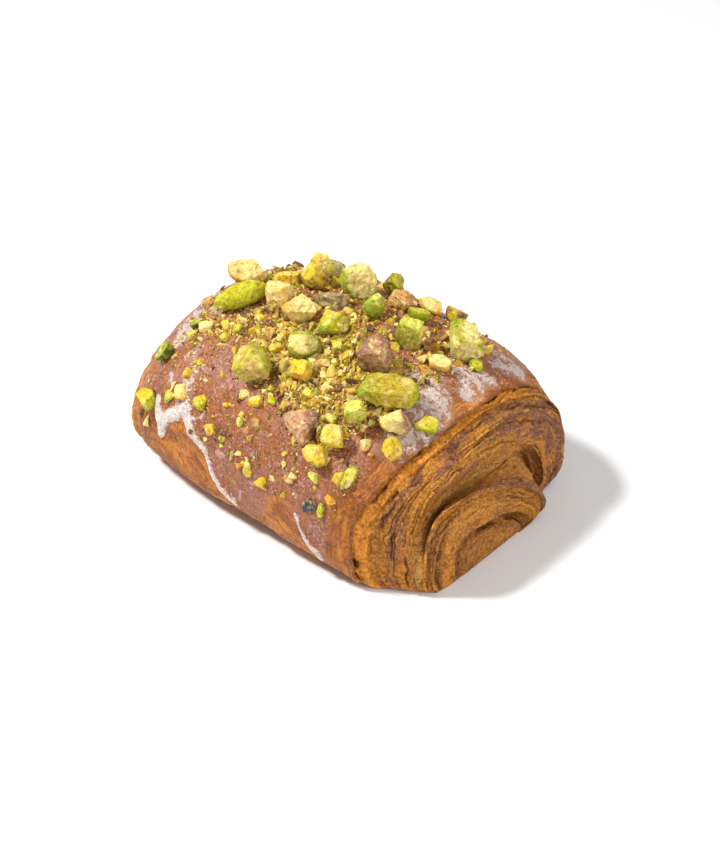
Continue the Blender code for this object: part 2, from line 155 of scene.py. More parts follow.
def stacked(*parts):
    return np.stack(np.broadcast_arrays(*parts), axis=-1)


def unit(vectors, least=1e-9):
    return vectors / (np.linalg.norm(vectors, axis=-1, keepdims=True) + least)


def archPoints(values, angles):
    nearX, crownX, farX, footX, nearY, crownY, farY, top, waist, nearRound, farRound, footRound = np.moveaxis(
        np.asarray(values, dtype=float), -1, 0)
    across, up = np.cos(angles), np.sin(angles)
    far, upper = across >= 0, up >= 0
    power = 2 / np.where(upper, np.where(far, farRound, nearRound), footRound)
    halfWidth = np.where(far, farY - crownY, crownY - nearY)
    y = crownY + halfWidth * np.sign(across) * np.abs(across) ** power
    rise = np.where(upper, top - waist, waist + roll["sink"])
    z = np.maximum(waist + rise * np.sign(up) * np.abs(up) ** power, 0)
    x = np.where(far, farX, nearX) * across**2 + np.where(upper, crownX, footX) * up**2
    return stacked(x, y, z)


# The section at each place from 0, the left lip, to 6, the right lip.
def bodyValues(places):
    places = np.asarray(places, dtype=float)
    index = np.clip(places.astype(int), 0, lastPlace - 1)
    part = (places - index)[..., None]
    here, after = bodyTable[index], bodyTable[index + 1]
    before = np.where(index[..., None] > 0, bodyTable[index - 1], 2 * here - after)
    beyond = bodyTable[np.minimum(index + 2, lastPlace)]
    beyond = np.where(index[..., None] + 1 < lastPlace, beyond, 2 * after - here)
    bend = 2 * before - 5 * here + 4 * after - beyond
    twist = 3 * here - before - 3 * after + beyond
    return here + 0.5 * part * ((after - before) + part * (bend + part * twist))


def bodyPoints(places, angles):
    values = bodyValues(places)[..., None, :]
    points = archPoints(values, angles)
    x, y, z = np.moveaxis(points, -1, 0)
    swell = sum(np.sin(x * rate[0] + y * rate[1] + z * rate[2] + phase) for rate, phase in roll["swellWaves"])
    height = roll["swell"] * swell * np.clip(z / roll["swellFade"], 0, 1)
    outward = unit(stacked(0, y - values[..., 5], z - values[..., 8]), 1e-6)
    return points + outward * height[..., None]


def flared(points, share=1):  # the near corner of the right end spreads on the table
    away = (points[..., 0] - roll["flareAt"][0]) ** 2 + (points[..., 1] - roll["flareAt"][1]) ** 2
    weight = np.clip(1 - points[..., 2] / roll["flareHeight"], 0, 1) ** 1.5
    weight = share * weight * np.exp(-away / roll["flareReach"] ** 2)
    return points + np.array([*roll["flare"], 0]) * weight[..., None]


# Angles round a section, evenly spaced on the crust and sparse under it, from the middle of the foot.
def spreadAngles(count, footShare=0.12):
    fine = np.linspace(-pi / 2, 3 * pi / 2, 6001)
    points = bodyPoints(np.array([lastPlace / 2]), fine)[0]
    steps = np.linalg.norm(np.diff(points, axis=0), axis=1)
    steps = np.where(points[:-1, 2] < 0.3, steps * footShare, steps)
    length = np.concatenate([[0], np.cumsum(steps)])
    return np.interp(np.arange(count) / count * length[-1], length, fine)


def ringDistances(points):  # how far each ring lies from the first, in mm
    steps = np.linalg.norm(np.diff(points, axis=0), axis=-1).mean(axis=1)
    return np.concatenate([[0], np.cumsum(steps)])


def spreadPlaces(positions, makePoints, spacing):
    length = ringDistances(makePoints(positions))
    return np.interp(np.linspace(0, length[-1], int(length[-1] / spacing)), length, positions)


def gridNormals(points):
    alongRing = np.roll(points, -1, axis=1) - np.roll(points, 1, axis=1)
    return unit(np.cross(alongRing, np.gradient(points, axis=0)))


# Distance in mm over the rings, and along each ring, for grain that follows the layers.
def gridGrain(points):
    around = np.cumsum(np.linalg.norm(np.diff(points, axis=1), axis=-1), axis=1)
    around = np.concatenate([np.zeros((len(points), 1)), around], axis=1)
    return np.broadcast_to(ringDistances(points)[:, None], around.shape), around


def raised(points, normals, height):  # pushed outwards by a height in mm, which fades out at the table
    height = height * smoothStep(*crust["tableFade"], points[..., 2])
    points = points + normals * height[..., None]
    points[..., 2] = np.maximum(points[..., 2], 0)
    return points


def painted(tint, *coats):  # each coat is a colour, and how much of it shows at each point
    for colour, weight in coats:
        tint = tint * (1 - weight[..., None]) + colour * weight[..., None]
    return tint


def addAttribute(mesh, name, values):
    values = np.ascontiguousarray(values, dtype=np.float32)
    kind, key = ("FLOAT_VECTOR", "vector") if values.ndim > 1 else ("FLOAT", "value")
    mesh.attributes.new(name, kind, "POINT").data.foreach_set(key, values.ravel())


def linked(name, data):
    made = bpy.data.objects.new(name, data)
    bpy.context.scene.collection.objects.link(made)
    return made


def newObject(name, mesh, material):
    mesh.materials.clear()
    mesh.materials.append(material)
    return linked(name, mesh)


# A closed skin over rings of points in mm, with a middle point at each end.
def skin(name, points, attributes, material):
    rings, count = points.shape[:2]
    every = np.concatenate([points.reshape(-1, 3), points[[0, -1]].mean(axis=1)])
    every = (every - np.array([*roll["centre"], 0])) * mm
    index = np.arange(rings * count).reshape(rings, count)
    after = np.roll(index, -1, axis=1)
    quads = np.stack([index[:-1], after[:-1], after[1:], index[1:]], axis=-1).reshape(-1, 4)
    first, last = rings * count, rings * count + 1
    startCap = [(after[0, here], index[0, here], first) for here in range(count)]
    endCap = [(index[-1, here], after[-1, here], last) for here in range(count)]
    mesh = bpy.data.meshes.new(name)
    mesh.from_pydata(every.tolist(), [], quads.tolist() + startCap + endCap)
    for key, values in attributes.items():
        values = values.reshape(rings * count, -1)
        middles = [values[:count].mean(axis=0), values[-count:].mean(axis=0)]
        addAttribute(mesh, key, np.concatenate([values, middles]).squeeze())
    mesh.shade_smooth()
    return newObject(name, mesh, material)


# Shader maths: a Wire is a socket that can be added, subtracted and multiplied, and a Graph makes the nodes.
class Wire:
    def __init__(self, graph, socket):
        self.graph, self.socket = graph, socket

    def __add__(self, other): return self.graph.math("ADD", self, other)
    def __radd__(self, other): return self.graph.math("ADD", other, self)
    def __sub__(self, other): return self.graph.math("SUBTRACT", self, other)
    def __rsub__(self, other): return self.graph.math("SUBTRACT", other, self)
    def __mul__(self, other): return self.graph.math("MULTIPLY", self, other)
    def __rmul__(self, other): return self.graph.math("MULTIPLY", other, self)


class Graph:
    def __init__(self, owner):  # a new material, or a group of geometry nodes
        if isinstance(owner, bpy.types.Material):
            owner.use_nodes = True
        self.owner, self.tree = owner, getattr(owner, "node_tree", owner)

    def node(self, kind, settings=None, values=None, output=0):
        made = self.tree.nodes.new(kind)
        for key, value in (settings or {}).items():
            setattr(made, key, value)
        for key, value in (values or {}).items():
            self.feed(made.inputs[key], value)
        return Wire(self, made.outputs[output])

    def feed(self, socket, value):
        value = value.socket if isinstance(value, Wire) else value
        if isinstance(value, bpy.types.NodeSocket):
            self.tree.links.new(value, socket)
        else:
            socket.default_value = value

    def math(self, operation, first, second=0):
        return self.node("ShaderNodeMath", {"operation": operation}, {0: first, 1: second})

    def step(self, value, low, high):  # 0 below low, 1 above high, smooth between
        return self.node("ShaderNodeMapRange", {"interpolation_type": "SMOOTHSTEP"},
                         {"Value": value, "From Min": low, "From Max": high})

    def mix(self, share, first, second, blend="MIX"):
        settings = {"data_type": "RGBA", "blend_type": blend}
        return self.node("ShaderNodeMix", settings, {0: share, 6: first, 7: second}, output=2)

    def covered(self, tone, *coats):  # each coat: what it follows, from where to where, its share, its colour
        for value, low, high, share, shade in coats:
            shade = shade if isinstance(shade, Wire) else rgb(*shade)
            tone = self.mix(self.step(value, low, high) * share, tone, shade)
        return tone

    def attribute(self, name, output=2):  # 2 is the value, 1 the vector, 0 the colour
        return self.node("ShaderNodeAttribute", {"attribute_name": name}, output=output)

    def place(self):
        return self.node("ShaderNodeTexCoord", output=3)

    def stretched(self, vector, scale):
        return self.node("ShaderNodeMapping", {}, {"Vector": vector, "Scale": scale})

    def noise(self, vector, scale, detail=2, roughness=0.5, distortion=0):
        values = {"Vector": vector, "Scale": scale, "Detail": detail, "Roughness": roughness}
        return self.node("ShaderNodeTexNoise", {}, {**values, "Distortion": distortion})

    def bump(self, height, distance, strength=1.0):
        return self.node("ShaderNodeBump", {}, {"Height": height, "Distance": distance, "Strength": strength})

    def finish(self, **sockets):
        for name, value in sockets.items():
            self.feed(self.tree.nodes["Principled BSDF"].inputs[name.replace("_", " ")], value)
        return self.owner


def rgb(*shade):  # a colour as a picture program names it, 0 to 255
    parts = [value / 255 for value in shade]
    return (*[((part + 0.055) / 1.055) ** 2.4 if part > 0.04 else part / 12.92 for part in parts], 1)


def rgbArray(rows):
    return np.array([rgb(*row)[:3] for row in rows])


# The glaze on the crust: the outline of its thin film, and the thick white strokes. Places are x at the
# crown in mm and degrees round the crust, where 90 is the crown and 180 the near side.
glaze = {
    "outline": [
        (-50.4, 160), (-45.2, 161.8), (-42.8, 163.1), (-41.1, 169.6), (-40.3, 177), (-39.9, 180.8),
        (-37.6, 179.6), (-36, 174.6), (-34.4, 170.1), (-32.1, 166.5), (-29.6, 164.6), (-28.2, 166.5),
        (-27.5, 169.2), (-26.4, 171.9), (-23.7, 173.9), (-20.9, 174.4), (-19.8, 176.6), (-18.4, 180.3),
        (-15.8, 184.3), (-14.2, 189), (-12, 193), (-8.5, 193.5), (-5.5, 194), (-2.4, 193), (1, 188), (4, 182),
        (7, 177.5),
        (9.3, 175.4), (11.9, 176.2), (14.4, 178.6), (16.3, 180.4), (17.4, 182), (18.4, 185.5), (20.6, 190),
        (22.5, 197), (24.1, 203), (25.9, 200), (27.8, 188.5), (29.2, 180.2), (30.3, 173.5), (31, 166),
        (31.8, 158.8), (33.1, 153.2), (34.2, 147.6), (34.4, 142.9), (34.3, 135), (34.8, 127.5), (36.2, 123.3),
        (37.8, 120.5), (38.6, 115.9), (38.6, 110.5), (38.2, 106), (37.2, 101.9), (36.2, 98.3), (36.6, 93),
        (37.6, 88), (38.8, 80), (39.6, 72.7), (39.8, 65), (38.7, 52), (36, 42), (30, 34), (22, 31), (15, 39),
        (7, 29), (-2, 36), (-11, 27), (-20, 38), (-27, 30), (-36, 41), (-44, 36), (-49, 46), (-51.5, 60),
        (-52, 100), (-51.5, 130),
    ],
    "degree": 0.47,  # mm of crust to a degree
    "drips": [  # places, half widths in mm, strength
        ([(-41.4, 161.5), (-39.6, 167.2), (-38.4, 173), (-38.5, 178.0)], (2.2, 2.0), 1.0),
        ([(-37.9, 171), (-34.6, 165.1), (-30.8, 160.9), (-28, 157)], (2.3, 1.5), 0.95),
        ([(-29.1, 158.4), (-27, 163.3), (-25.3, 168.0), (-22.5, 170.7), (-20, 173.2)], (2.0, 1.3), 1.0),
        ([(-20, 173.2), (-19, 176.8), (-17.9, 179.9)], (0.9, 0.9), 0.9),
        ([(-17.9, 180.2), (-15.6, 182.6), (-13.1, 186)], (1.4, 1.6), 1.0),
        ([(-13.1, 186.4), (-11, 189.4), (-8, 190.5)], (1.5, 1.4), 0.75),
        ([(-26.4, 161.8), (-22.6, 158.2), (-22, 154.6)], (0.7, 0.5), 0.5),
        ([(14.9, 178.3), (17.5, 181.2)], (0.5, 0.5), 0.65),
        ([(17.6, 181.6), (20.2, 186), (22.4, 192), (23.4, 198)], (1.3, 2.3), 1.0),
    ],
    "patches": [
        ([(-30.5, 157), (-31.2, 150), (-31.8, 144), (-32, 136)], (2.2, 2.0), 0.95),
        ([(-38.9, 148.3), (-37.9, 144.4)], (1.3, 1.3), 0.6),
        ([(-36, 133), (-35, 128)], (1.2, 1.2), 0.55),
        ([(-47, 109), (-45, 119.5), (-44.5, 127)], (3.6, 2.8), 1.7),
        ([(-49.7, 99), (-48.8, 96), (-44.3, 99), (-40.5, 104)], (3.4, 3.2), 1.6),
        ([(-47, 66), (-45, 60), (-42, 54), (-39, 50)], (2.6, 2.6), 0.9),
        ([(36.0, 123.4), (37, 116.3), (37.4, 109.3), (36.2, 103.5), (33.5, 104)], (4.2, 5.0), 1.0),
        ([(35.2, 112), (33.0, 104), (31.5, 110)], (4.2, 4.4), 1.0),
        ([(34.4, 102), (32.2, 97.2), (28.9, 94), (24.4, 95.2)], (4.6, 3.6), 1.0),
        ([(28.7, 83.9), (32.7, 84.4), (35.6, 85.5), (36.5, 89.3)], (3.2, 3.4), 1.0),
        ([(32.7, 82.3), (35.2, 78.7), (37.9, 77)], (1.9, 1.8), 0.85),
        ([(25.6, 61.9), (29.2, 60.5), (32.7, 58.3), (36, 54)], (1.9, 2.0), 0.9),
        ([(32.7, 65.9), (35.6, 61.7), (37.4, 52)], (2.2, 2.2), 1.0),
        ([(-20, 48), (-14, 45), (-6, 47)], (2.4, 2.2), 0.8),
        ([(8, 44), (15, 42), (20, 45)], (2.2, 2.6), 0.8),
        ([(-34, 36), (-30, 44)], (2.0, 2.4), 0.8),
    ],
    "filmHeight": 0.10,
    "rimHeight": 0.08,
    "dripHeight": 0.5,
    "patchHeight": 0.16,
    "dripFray": (0.16, 0.10),  # how far broad and fine noise move the strokes' edges
    "patchFray": (0.30, 0.25),
}


def crownPlace(x):  # the place along the body whose crown stands at x
    fine = np.linspace(0, lastPlace, 1201)
    return np.interp(x, bodyValues(fine)[:, 1], fine)


def crustPoint(x, around):
    return bodyPoints(np.array([crownPlace(x)]), np.array([radians(around)]))[0, 0]


# How deep each point lies in a set of strokes: strength at a stroke's middle line, and 0 from its edge.
def strokeField(points, strokes):
    field = np.full(points.shape[:-1], -1.0)
    for places, widths, strength in strokes:
        marks = [np.linspace(one, other, 8, endpoint=False) for one, other in zip(places, places[1:])]
        line = np.array([crustPoint(*mark) for mark in np.concatenate([*marks, [places[-1]]])])
        for number in range(len(line) - 1):
            width = widths[0] + (widths[1] - widths[0]) * number / len(line)
            start, reach = line[number], line[number + 1] - line[number]
            low = np.minimum(start, start + reach) - 3 * width
            high = np.maximum(start, start + reach) + 3 * width
            near = np.all((points > low) & (points < high), axis=-1)
            away = points[near] - start
            part = np.clip(away @ reach / (reach @ reach + 1e-9), 0, 1)
            distance = np.linalg.norm(away - part[..., None] * reach, axis=-1)
            field[near] = np.maximum(field[near], strength * (1 - distance / width))
    return field


def filmDistance(x, degrees):  # mm inside the film's outline, less than 0 outside
    corners = np.array(glaze["outline"]) * [1, glaze["degree"]]
    point = np.stack([x, degrees * glaze["degree"]], axis=-1)
    nearest = np.full(x.shape, 99.0)
    inside = np.zeros(x.shape, dtype=bool)
    for start, end in zip(corners, np.roll(corners, -1, axis=0)):
        reach = end - start
        part = np.clip((point - start) @ reach / (reach @ reach), 0, 1)
        nearest = np.minimum(nearest, np.linalg.norm(point - start - part[..., None] * reach, axis=-1))
        crosses = (start[1] > point[..., 1]) != (end[1] > point[..., 1])
        at = start[0] + (point[..., 1] - start[1]) / (reach[1] if abs(reach[1]) > 1e-6 else 1e-6) * reach[0]
        inside ^= crosses & (point[..., 0] < at)
    return np.where(inside, nearest, -nearest)


# How thickly crumbs lie at each place, from 0 to 1.
def crumbDensity(x, degrees):
    band = np.array(crumbs["band"])
    upper, lower = np.interp(x, band[:, 0], band[:, 1]), np.interp(x, band[:, 0], band[:, 2])
    beyond = np.maximum(band[0, 0] - x, x - band[-1, 0])
    outside = np.maximum(np.maximum(upper - degrees, degrees - lower) * glaze["degree"], beyond)
    wander = layeredNoise(stacked(x / 5, degrees / 11, 0), 2, 502)
    patchy = 0.45 + 0.85 * smoothStep(-0.5, 0.4, layeredNoise(stacked(x / 3, degrees / 6, 0), 2, 503))
    inBand = (1 - smoothStep(-1.5, 2.5, outside + 2.2 * wander)) * patchy
    stray = crumbs["elsewhere"] * ((degrees > 48) & (degrees < 176) & (x > -49) & (x < 33))
    stray = stray + crumbs["around"] * np.exp(-((degrees - 92) / 34) ** 2) * ((x > -44) & (x < 30))
    return np.clip(np.maximum(inBand, stray), 0, 1)


crumbs = {
    "band": [  # x, and its upper and lower edge in degrees
        (-33, 108, 116), (-26, 101, 114), (-22, 90, 116), (-12, 86, 120), (-7, 86, 133), (0, 88, 134),
        (9, 86, 137), (15, 100, 143), (19, 108, 144), (24, 112, 136), (28, 116, 122),
    ],
    "around": 0.20,  # share of the band's density between the loose nuts
    "elsewhere": 0.035,
    "kinds": 15,  # how many shapes of crumb
    "layers": [  # pieces to a square cm at the band's middle, least gap in mm, sizes in mm, seed
        {"name": "chips", "density": 130, "gap": 1.7, "size": (2.0, 4.2), "seed": 2},
        {"name": "coarseCrumbs", "density": 220, "gap": 0.9, "size": (1.1, 2.2), "seed": 3},
        {"name": "fineCrumbs", "density": 340, "gap": 0.4, "size": (0.6, 1.2), "seed": 5},
        {"name": "dust", "density": 320, "gap": 0.25, "size": (0.3, 0.7), "seed": 8},
    ],
    "tones": [(0.0, (240, 222, 152)), (0.24, (228, 200, 92)), (0.44, (212, 182, 40)), (0.56, (180, 162, 18)),
              (0.64, (118, 116, 12)), (0.70, (224, 166, 24)), (0.79, (186, 126, 44)), (0.88, (128, 82, 40)),
              (1.0, (96, 60, 42))],
}

crust = {
    "columns": 384,
    "spacing": 0.405,  # mm between stations
    "lip": 0.45,  # radius of the lip's edge
    "returnLength": 3.5,  # how far the lip turns back inside
    "ragged": 0.55,  # mm that the lip wanders along the roll
    "lipFade": 2.5,  # mm over which that wandering fades out
    "relief": [(0.34, 11, 11), (0.20, 3.4, 21), (0.07, 0.9, 31)],  # swells, blisters, grit: high, wide, seed
    "flakes": 0.26,  # mm high
    "flakeStep": 2.3,  # mm from flake to flake
    "slant": (0.49, 0.87),  # which way the flakes step: along the roll and upwards
    "followLip": (11, 3),  # mm from a lip where the flakes begin to follow it, and where they do
    "tableFade": (0.2, 4.0),  # mm above the table where all relief begins, and where it is whole
}


# Rings past a lip: round its edge, and back inside it.
def lipRings(lip, before, outwardNormals):
    along = unit(lip - before)
    rings = []
    for turn in np.linspace(0, pi, 7)[1:]:
        rings.append(lip + crust["lip"] * (along * sin(turn) - outwardNormals * (1 - cos(turn))))
    for step in (1.2, crust["returnLength"]):
        rings.append(lip - 2 * crust["lip"] * outwardNormals - along * step)
    return rings


def saw(phase):
    return phase - np.floor(phase)


def makeCrust(material):
    angles = spreadAngles(crust["columns"])
    places = spreadPlaces(
        np.linspace(0, lastPlace, 2001), lambda s: flared(bodyPoints(s, angles[::12])), crust["spacing"])
    points = flared(bodyPoints(places, angles))
    crownX, degrees = np.broadcast_arrays(bodyValues(places)[:, 1][:, None], np.degrees(angles)[None, :])
    x, y, z = np.moveaxis(points, -1, 0)
    # ragged lips
    fromLeft, fromRight = x - x[0], x[-1] - x
    turn = stacked(np.cos(angles), np.sin(angles), 0)
    high = smoothStep(0.5, 5, z)
    for outward, away, offset, seed in ((-1, fromLeft, 3, 51), (1, fromRight, 9, 61)):
        shift = layeredNoise(turn * 7 + offset, 3, seed) * crust["ragged"]
        x += outward * shift * np.exp(-away / crust["lipFade"]) * high
    normals = gridNormals(points)
    # glaze
    warp = layeredNoise(points / 2.6, 2, 71)
    fray = cellNoise(points / 0.9, 73)

    def frayed(strokes, broad, fine):
        field = strokeField(points, strokes)
        return np.where(field > -1, field + broad * warp + fine * fray, field)

    drip = frayed(glaze["drips"], *glaze["dripFray"])
    patch = frayed(glaze["patches"], *glaze["patchFray"])
    film = filmDistance(crownX, degrees)
    film = film + (0.9 * warp + 0.4 * fray) * (1 - 0.8 * smoothStep(-0.5, 0.1, drip))
    drip = np.where(film > -0.3, drip, -1)
    bare = 1 - smoothStep(-0.6, 0.6, film)
    # relief
    swells, blisters, grit = (
        rise * layeredNoise(points / wide, 2, seed) for rise, wide, seed in crust["relief"])
    along, upwards = crust["slant"]
    nearLeft, nearRight = (smoothStep(*crust["followLip"], away) for away in (fromLeft, fromRight))
    slant = (x * along + z * upwards) * (1 - (nearLeft + nearRight))
    slant = slant + fromLeft * nearLeft + fromRight * nearRight
    slant = slant + 1.6 * layeredNoise(points / 7, 2, 41) * smoothStep(25, 5, 0.75 * y)
    slant = slant + 0.35 * layeredNoise(points / 1.8, 2, 43)
    flake = saw(slant / crust["flakeStep"])
    flakes = crust["flakes"] * (1 - flake) * smoothStep(1.0, 0.93, flake)
    flakes = flakes * (0.5 + 0.5 * layeredNoise(points / 5, 2, 45))
    rim = np.exp(-((film - 0.45) / 0.35) ** 2) * smoothStep(-0.6, 0.1, drip)
    height = swells + blisters + grit * (1 + bare) + flakes * (0.3 + 0.7 * bare)
    height = height + glaze["filmHeight"] * smoothStep(0, 1.5, film) + glaze["rimHeight"] * rim
    height = height + glaze["dripHeight"] * smoothStep(-0.1, 0.6, drip) * smoothStep(-0.1, 0.5, film)
    points = raised(points, normals, height + glaze["patchHeight"] * smoothStep(0.05, 0.7, patch))
    x, y, z = np.moveaxis(points, -1, 0)
    # lips
    normals = gridNormals(points)
    left = lipRings(points[0], points[2], normals[0])
    right = lipRings(points[-1], points[-3], normals[-1])
    every = np.concatenate([left[::-1], points, right])
    every[..., 2] = np.maximum(every[..., 2], 0)
    leftEdge = np.exp(-np.clip(fromLeft + 0.5 * fray, 0, None) / 0.9)
    rightEdge = 0.75 * np.exp(-np.clip(fromRight + 0.5 * fray, 0, None) / 0.35)
    onTop = np.minimum(fromLeft, fromRight) > 2
    values = {
        "film": np.clip(film, -5, 5),
        "drip": drip,
        "patch": patch,
        "browning": np.maximum(leftEdge, rightEdge),
        "streak": stacked(slant, y, x * upwards - z * along),
        "density": np.where(onTop, crumbDensity(crownX, degrees), 0),
    }
    # a lip has the values of the ring next to it
    rings = np.clip(np.arange(len(every)) - len(left), 0, len(points) - 1)
    return skin("crust", every, {key: value[rings] for key, value in values.items()}, material)


# The layers of the two ends, from the lip inwards. Colours at places along the layers, where a whole
# number is a layer's own edge and the part before it its groove.
ends = {
    "both": {
        "start": (6.0, 1.3),  # mm behind the lip, and mm inside the crust, where the layers start
        "blur": 0.35,  # mm by which the layers' edges are rounded
        "undercut": 5,  # mm that the flat foot stays back under the roll
        "streaks": [(2.6, 0.18), (1.2, 0.06)],  # mm across, mm high
        "lumps": 0.16,  # mm high
    },
    "right": {
        "name": "rolledEnd",
        "columns": 440,
        "spacing": 0.32,
        "torn": 1.0,
        "front": (0.8, 18),  # bulge of the last layer's front, and how many rings close it
        "terraces": [(4.2, 0.95, 0.75), (1.5, 0.16, 0.4)],  # mm from step to step, height, raggedness
        "cracks": [(5.6, 1.0, 0.45), (2.9, 0.3, 0.35)],  # mm from crack to crack, depth, half width
        "slits": [  # place, half width in layers, depth in mm, between two y, and how much painted shade darkens it
            (8.62, 0.24, 1.1, -3.5, 4.5, 0.9), (8.55, 0.28, 1.1, 9.5, 19, 0.9), (8.65, 0.16, 0.4, -14, -5, 0.6),
            (6.32, 0.14, 0.9, -30, -17.5, 0.8), (6.02, 0.06, 0.5, -30, -19, 0.6),
            (1.95, 0.08, 1.2, 24, 31, 0.9), (1.70, 0.12, 1.2, 35.5, 44, 0.9), (1.2, 0.07, 0.6, 8, 24, 0.5),
        ],
        "flaps": [  # lighter: place, half width, between two y, and how much
            (4.75, 0.35, -40, -15, 0.75), (0.95, 0.45, -40, -4, 0.65), (6.7, 0.3, -40, -17, 0.4),
        ],
        "grit": 0.05,
        "pits": 0.07,
        "colours": [  # place, colour, and how much of it browned
            # Painted shade: the dark colours by the lip (0 to 0.3) and in the slit (7.9 to 8.2). Painted light:
            # the light colours in the hollow (3.6 to 4.45), which lies in shadow.
            (0.0, (64, 38, 18), 0), (0.3, (92, 54, 26), 0), (0.45, (150, 92, 36), 0), (0.58, (230, 148, 44), 0),
            (0.85, (224, 142, 40), 0), (1.0, (220, 138, 40), 0), (1.2, (210, 130, 40), 0.1),
            (1.45, (140, 86, 36), 0.2), (1.7, (164, 102, 46), 0.7), (2.0, (172, 108, 46), 0.4),
            (2.15, (146, 92, 66), 1.0), (2.6, (150, 94, 66), 1.0), (2.8, (186, 116, 44), 0.3),
            (2.95, (184, 114, 44), 0.2), (3.05, (180, 112, 48), 0.2), (3.3, (172, 110, 44), 0.2),
            (3.6, (176, 128, 64), 0), (4.0, (214, 172, 100), 0), (4.2, (222, 168, 90), 0),
            (4.45, (226, 164, 86), 0), (4.6, (190, 124, 50), 0.3), (4.9, (170, 108, 50), 0.6),
            (5.0, (158, 96, 48), 0.6), (5.25, (130, 78, 32), 0.2), (5.5, (196, 124, 42), 0.1),
            (5.8, (172, 108, 40), 0.3), (6.0, (180, 112, 46), 0.3), (6.3, (206, 134, 52), 0.1),
            (6.65, (184, 116, 52), 0.5), (7.0, (172, 108, 52), 0.6), (7.3, (150, 94, 42), 0.2),
            (7.7, (150, 94, 42), 0.2), (7.9, (96, 56, 24), 0), (8.2, (110, 66, 30), 0),
            (8.75, (180, 116, 54), 0.1), (9.0, (170, 106, 50), 0.6), (9.5, (164, 100, 48), 0.6),
        ],
        "noise": 200,  # the first of its seeds
    },
    "left": {
        "name": "backEnd",
        "columns": 400,
        "spacing": 0.40,
        "torn": 0.4,
        "front": (0.4, 26),
        "terraces": [(3.8, 0.8, 0.7), (1.4, 0.16, 0.4)],
        "cracks": [(4.6, 0.7, 0.45), (2.6, 0.3, 0.35)],
        "slits": [],
        "flaps": [],
        "grit": 0.08,
        "pits": 0.12,
        "colours": [
            (0.0, (96, 52, 20), 0.2), (0.4, (180, 106, 32), 0.1), (0.75, (226, 140, 34), 0.1),
            (1.0, (194, 118, 38), 0.5), (1.4, (214, 134, 36), 0.2), (2.0, (190, 116, 38), 0.5),
            (2.5, (176, 110, 36), 0.2), (3.0, (120, 76, 32), 0), (3.5, (182, 116, 40), 0.2),
            (4.0, (166, 104, 44), 0.6), (4.5, (180, 116, 40), 0.2), (5.0, (112, 70, 28), 0),
        ],
        "noise": 300,
    },
}


# Rings of an end's layers at places from 0, the lip, where each layer is one further.
def layerPoints(side, places, angles):
    outward, lipPlace = sides[side]
    rows = list(roll[side].values())
    edges = [bodyPoints(np.array([lipPlace]), angles)[0]]
    for number, row in enumerate(rows):
        ring = archPoints(row[:12], angles)
        ripple = sum(np.sin(count * angles + turn * number) for count, turn in roll["layerRipples"])
        ring[:, 0] += roll["layerWave"] * ripple * np.sin(angles).clip(0, 1) * row[7] / roll["outerHeight"]
        edges.append(ring)
    edges, grooves = np.array(edges), np.array([row[12] for row in rows])
    index = np.clip(places.astype(int), 0, len(rows) - 1)
    part = (places - index)[:, None]
    points = edges[index] * (1 - part[..., None]) + edges[index + 1] * part[..., None]
    points[..., 0] -= outward * grooves[index][:, None] * np.sin(pi * part) * smoothStep(0, 5, points[..., 2])
    if side == "right":
        points = flared(points, np.clip(3.5 - places, 0, 1)[:, None])
        base = smoothStep(4, 0, points[..., 2]) * smoothStep(6.3, 7, places)[:, None]
        points[..., 0] += (roll["baseLine"] - points[..., 0]) * base
    return points


def blurRings(points, sigma):
    reach = int(3 * sigma) + 1
    weights = np.exp(-0.5 * (np.arange(-reach, reach + 1) / sigma) ** 2)
    weights /= weights.sum()
    wide = np.pad(points, [(reach, reach), (0, 0), (0, 0)], mode="edge")
    return sum(weight * wide[number:number + len(points)] for number, weight in enumerate(weights))


# The rings of an end from inside the crust to its closed front, and the layer that each lies in.
def endRings(side, end):
    outward, lipPlace = sides[side]
    count = len(roll[side])
    angles = spreadAngles(end["columns"])
    steps = spreadPlaces(
        np.linspace(0.02, count, 4001), lambda s: layerPoints(side, s, angles[::11]), end["spacing"])
    points = blurRings(layerPoints(side, steps, angles), end["blur"] / end["spacing"])
    lip = bodyPoints(np.array([lipPlace]), angles)[0]
    lip = flared(lip) if side == "right" else lip
    inset = unit((lip - [0, lip[:, 1].mean(), 16]) * [0, 1, 1])
    behind, inside = end["start"]
    starts = [lip - inset * inside - [outward * behind * share, 0, 0] for share in (1, 0.66, 0.36, 0.14)]
    bulge, closing = end["front"]
    parts = np.arange(1, closing + 1) / closing
    centre = points[-1].mean(axis=0)
    fronts = [centre + (points[-1] - centre) * cos(part * pi / 2 * 0.97)
              + [outward * bulge * sin(part * pi / 2), 0, 0] for part in parts]
    every = np.concatenate([starts, points, fronts])
    every[len(starts):, :, 2] = np.maximum(every[len(starts):, :, 2], 0)
    layer = np.concatenate([np.zeros(len(starts)), steps, count + parts * 0.5])[:, None]
    return (every, layer) if side == "right" else (every[::-1], layer[::-1])


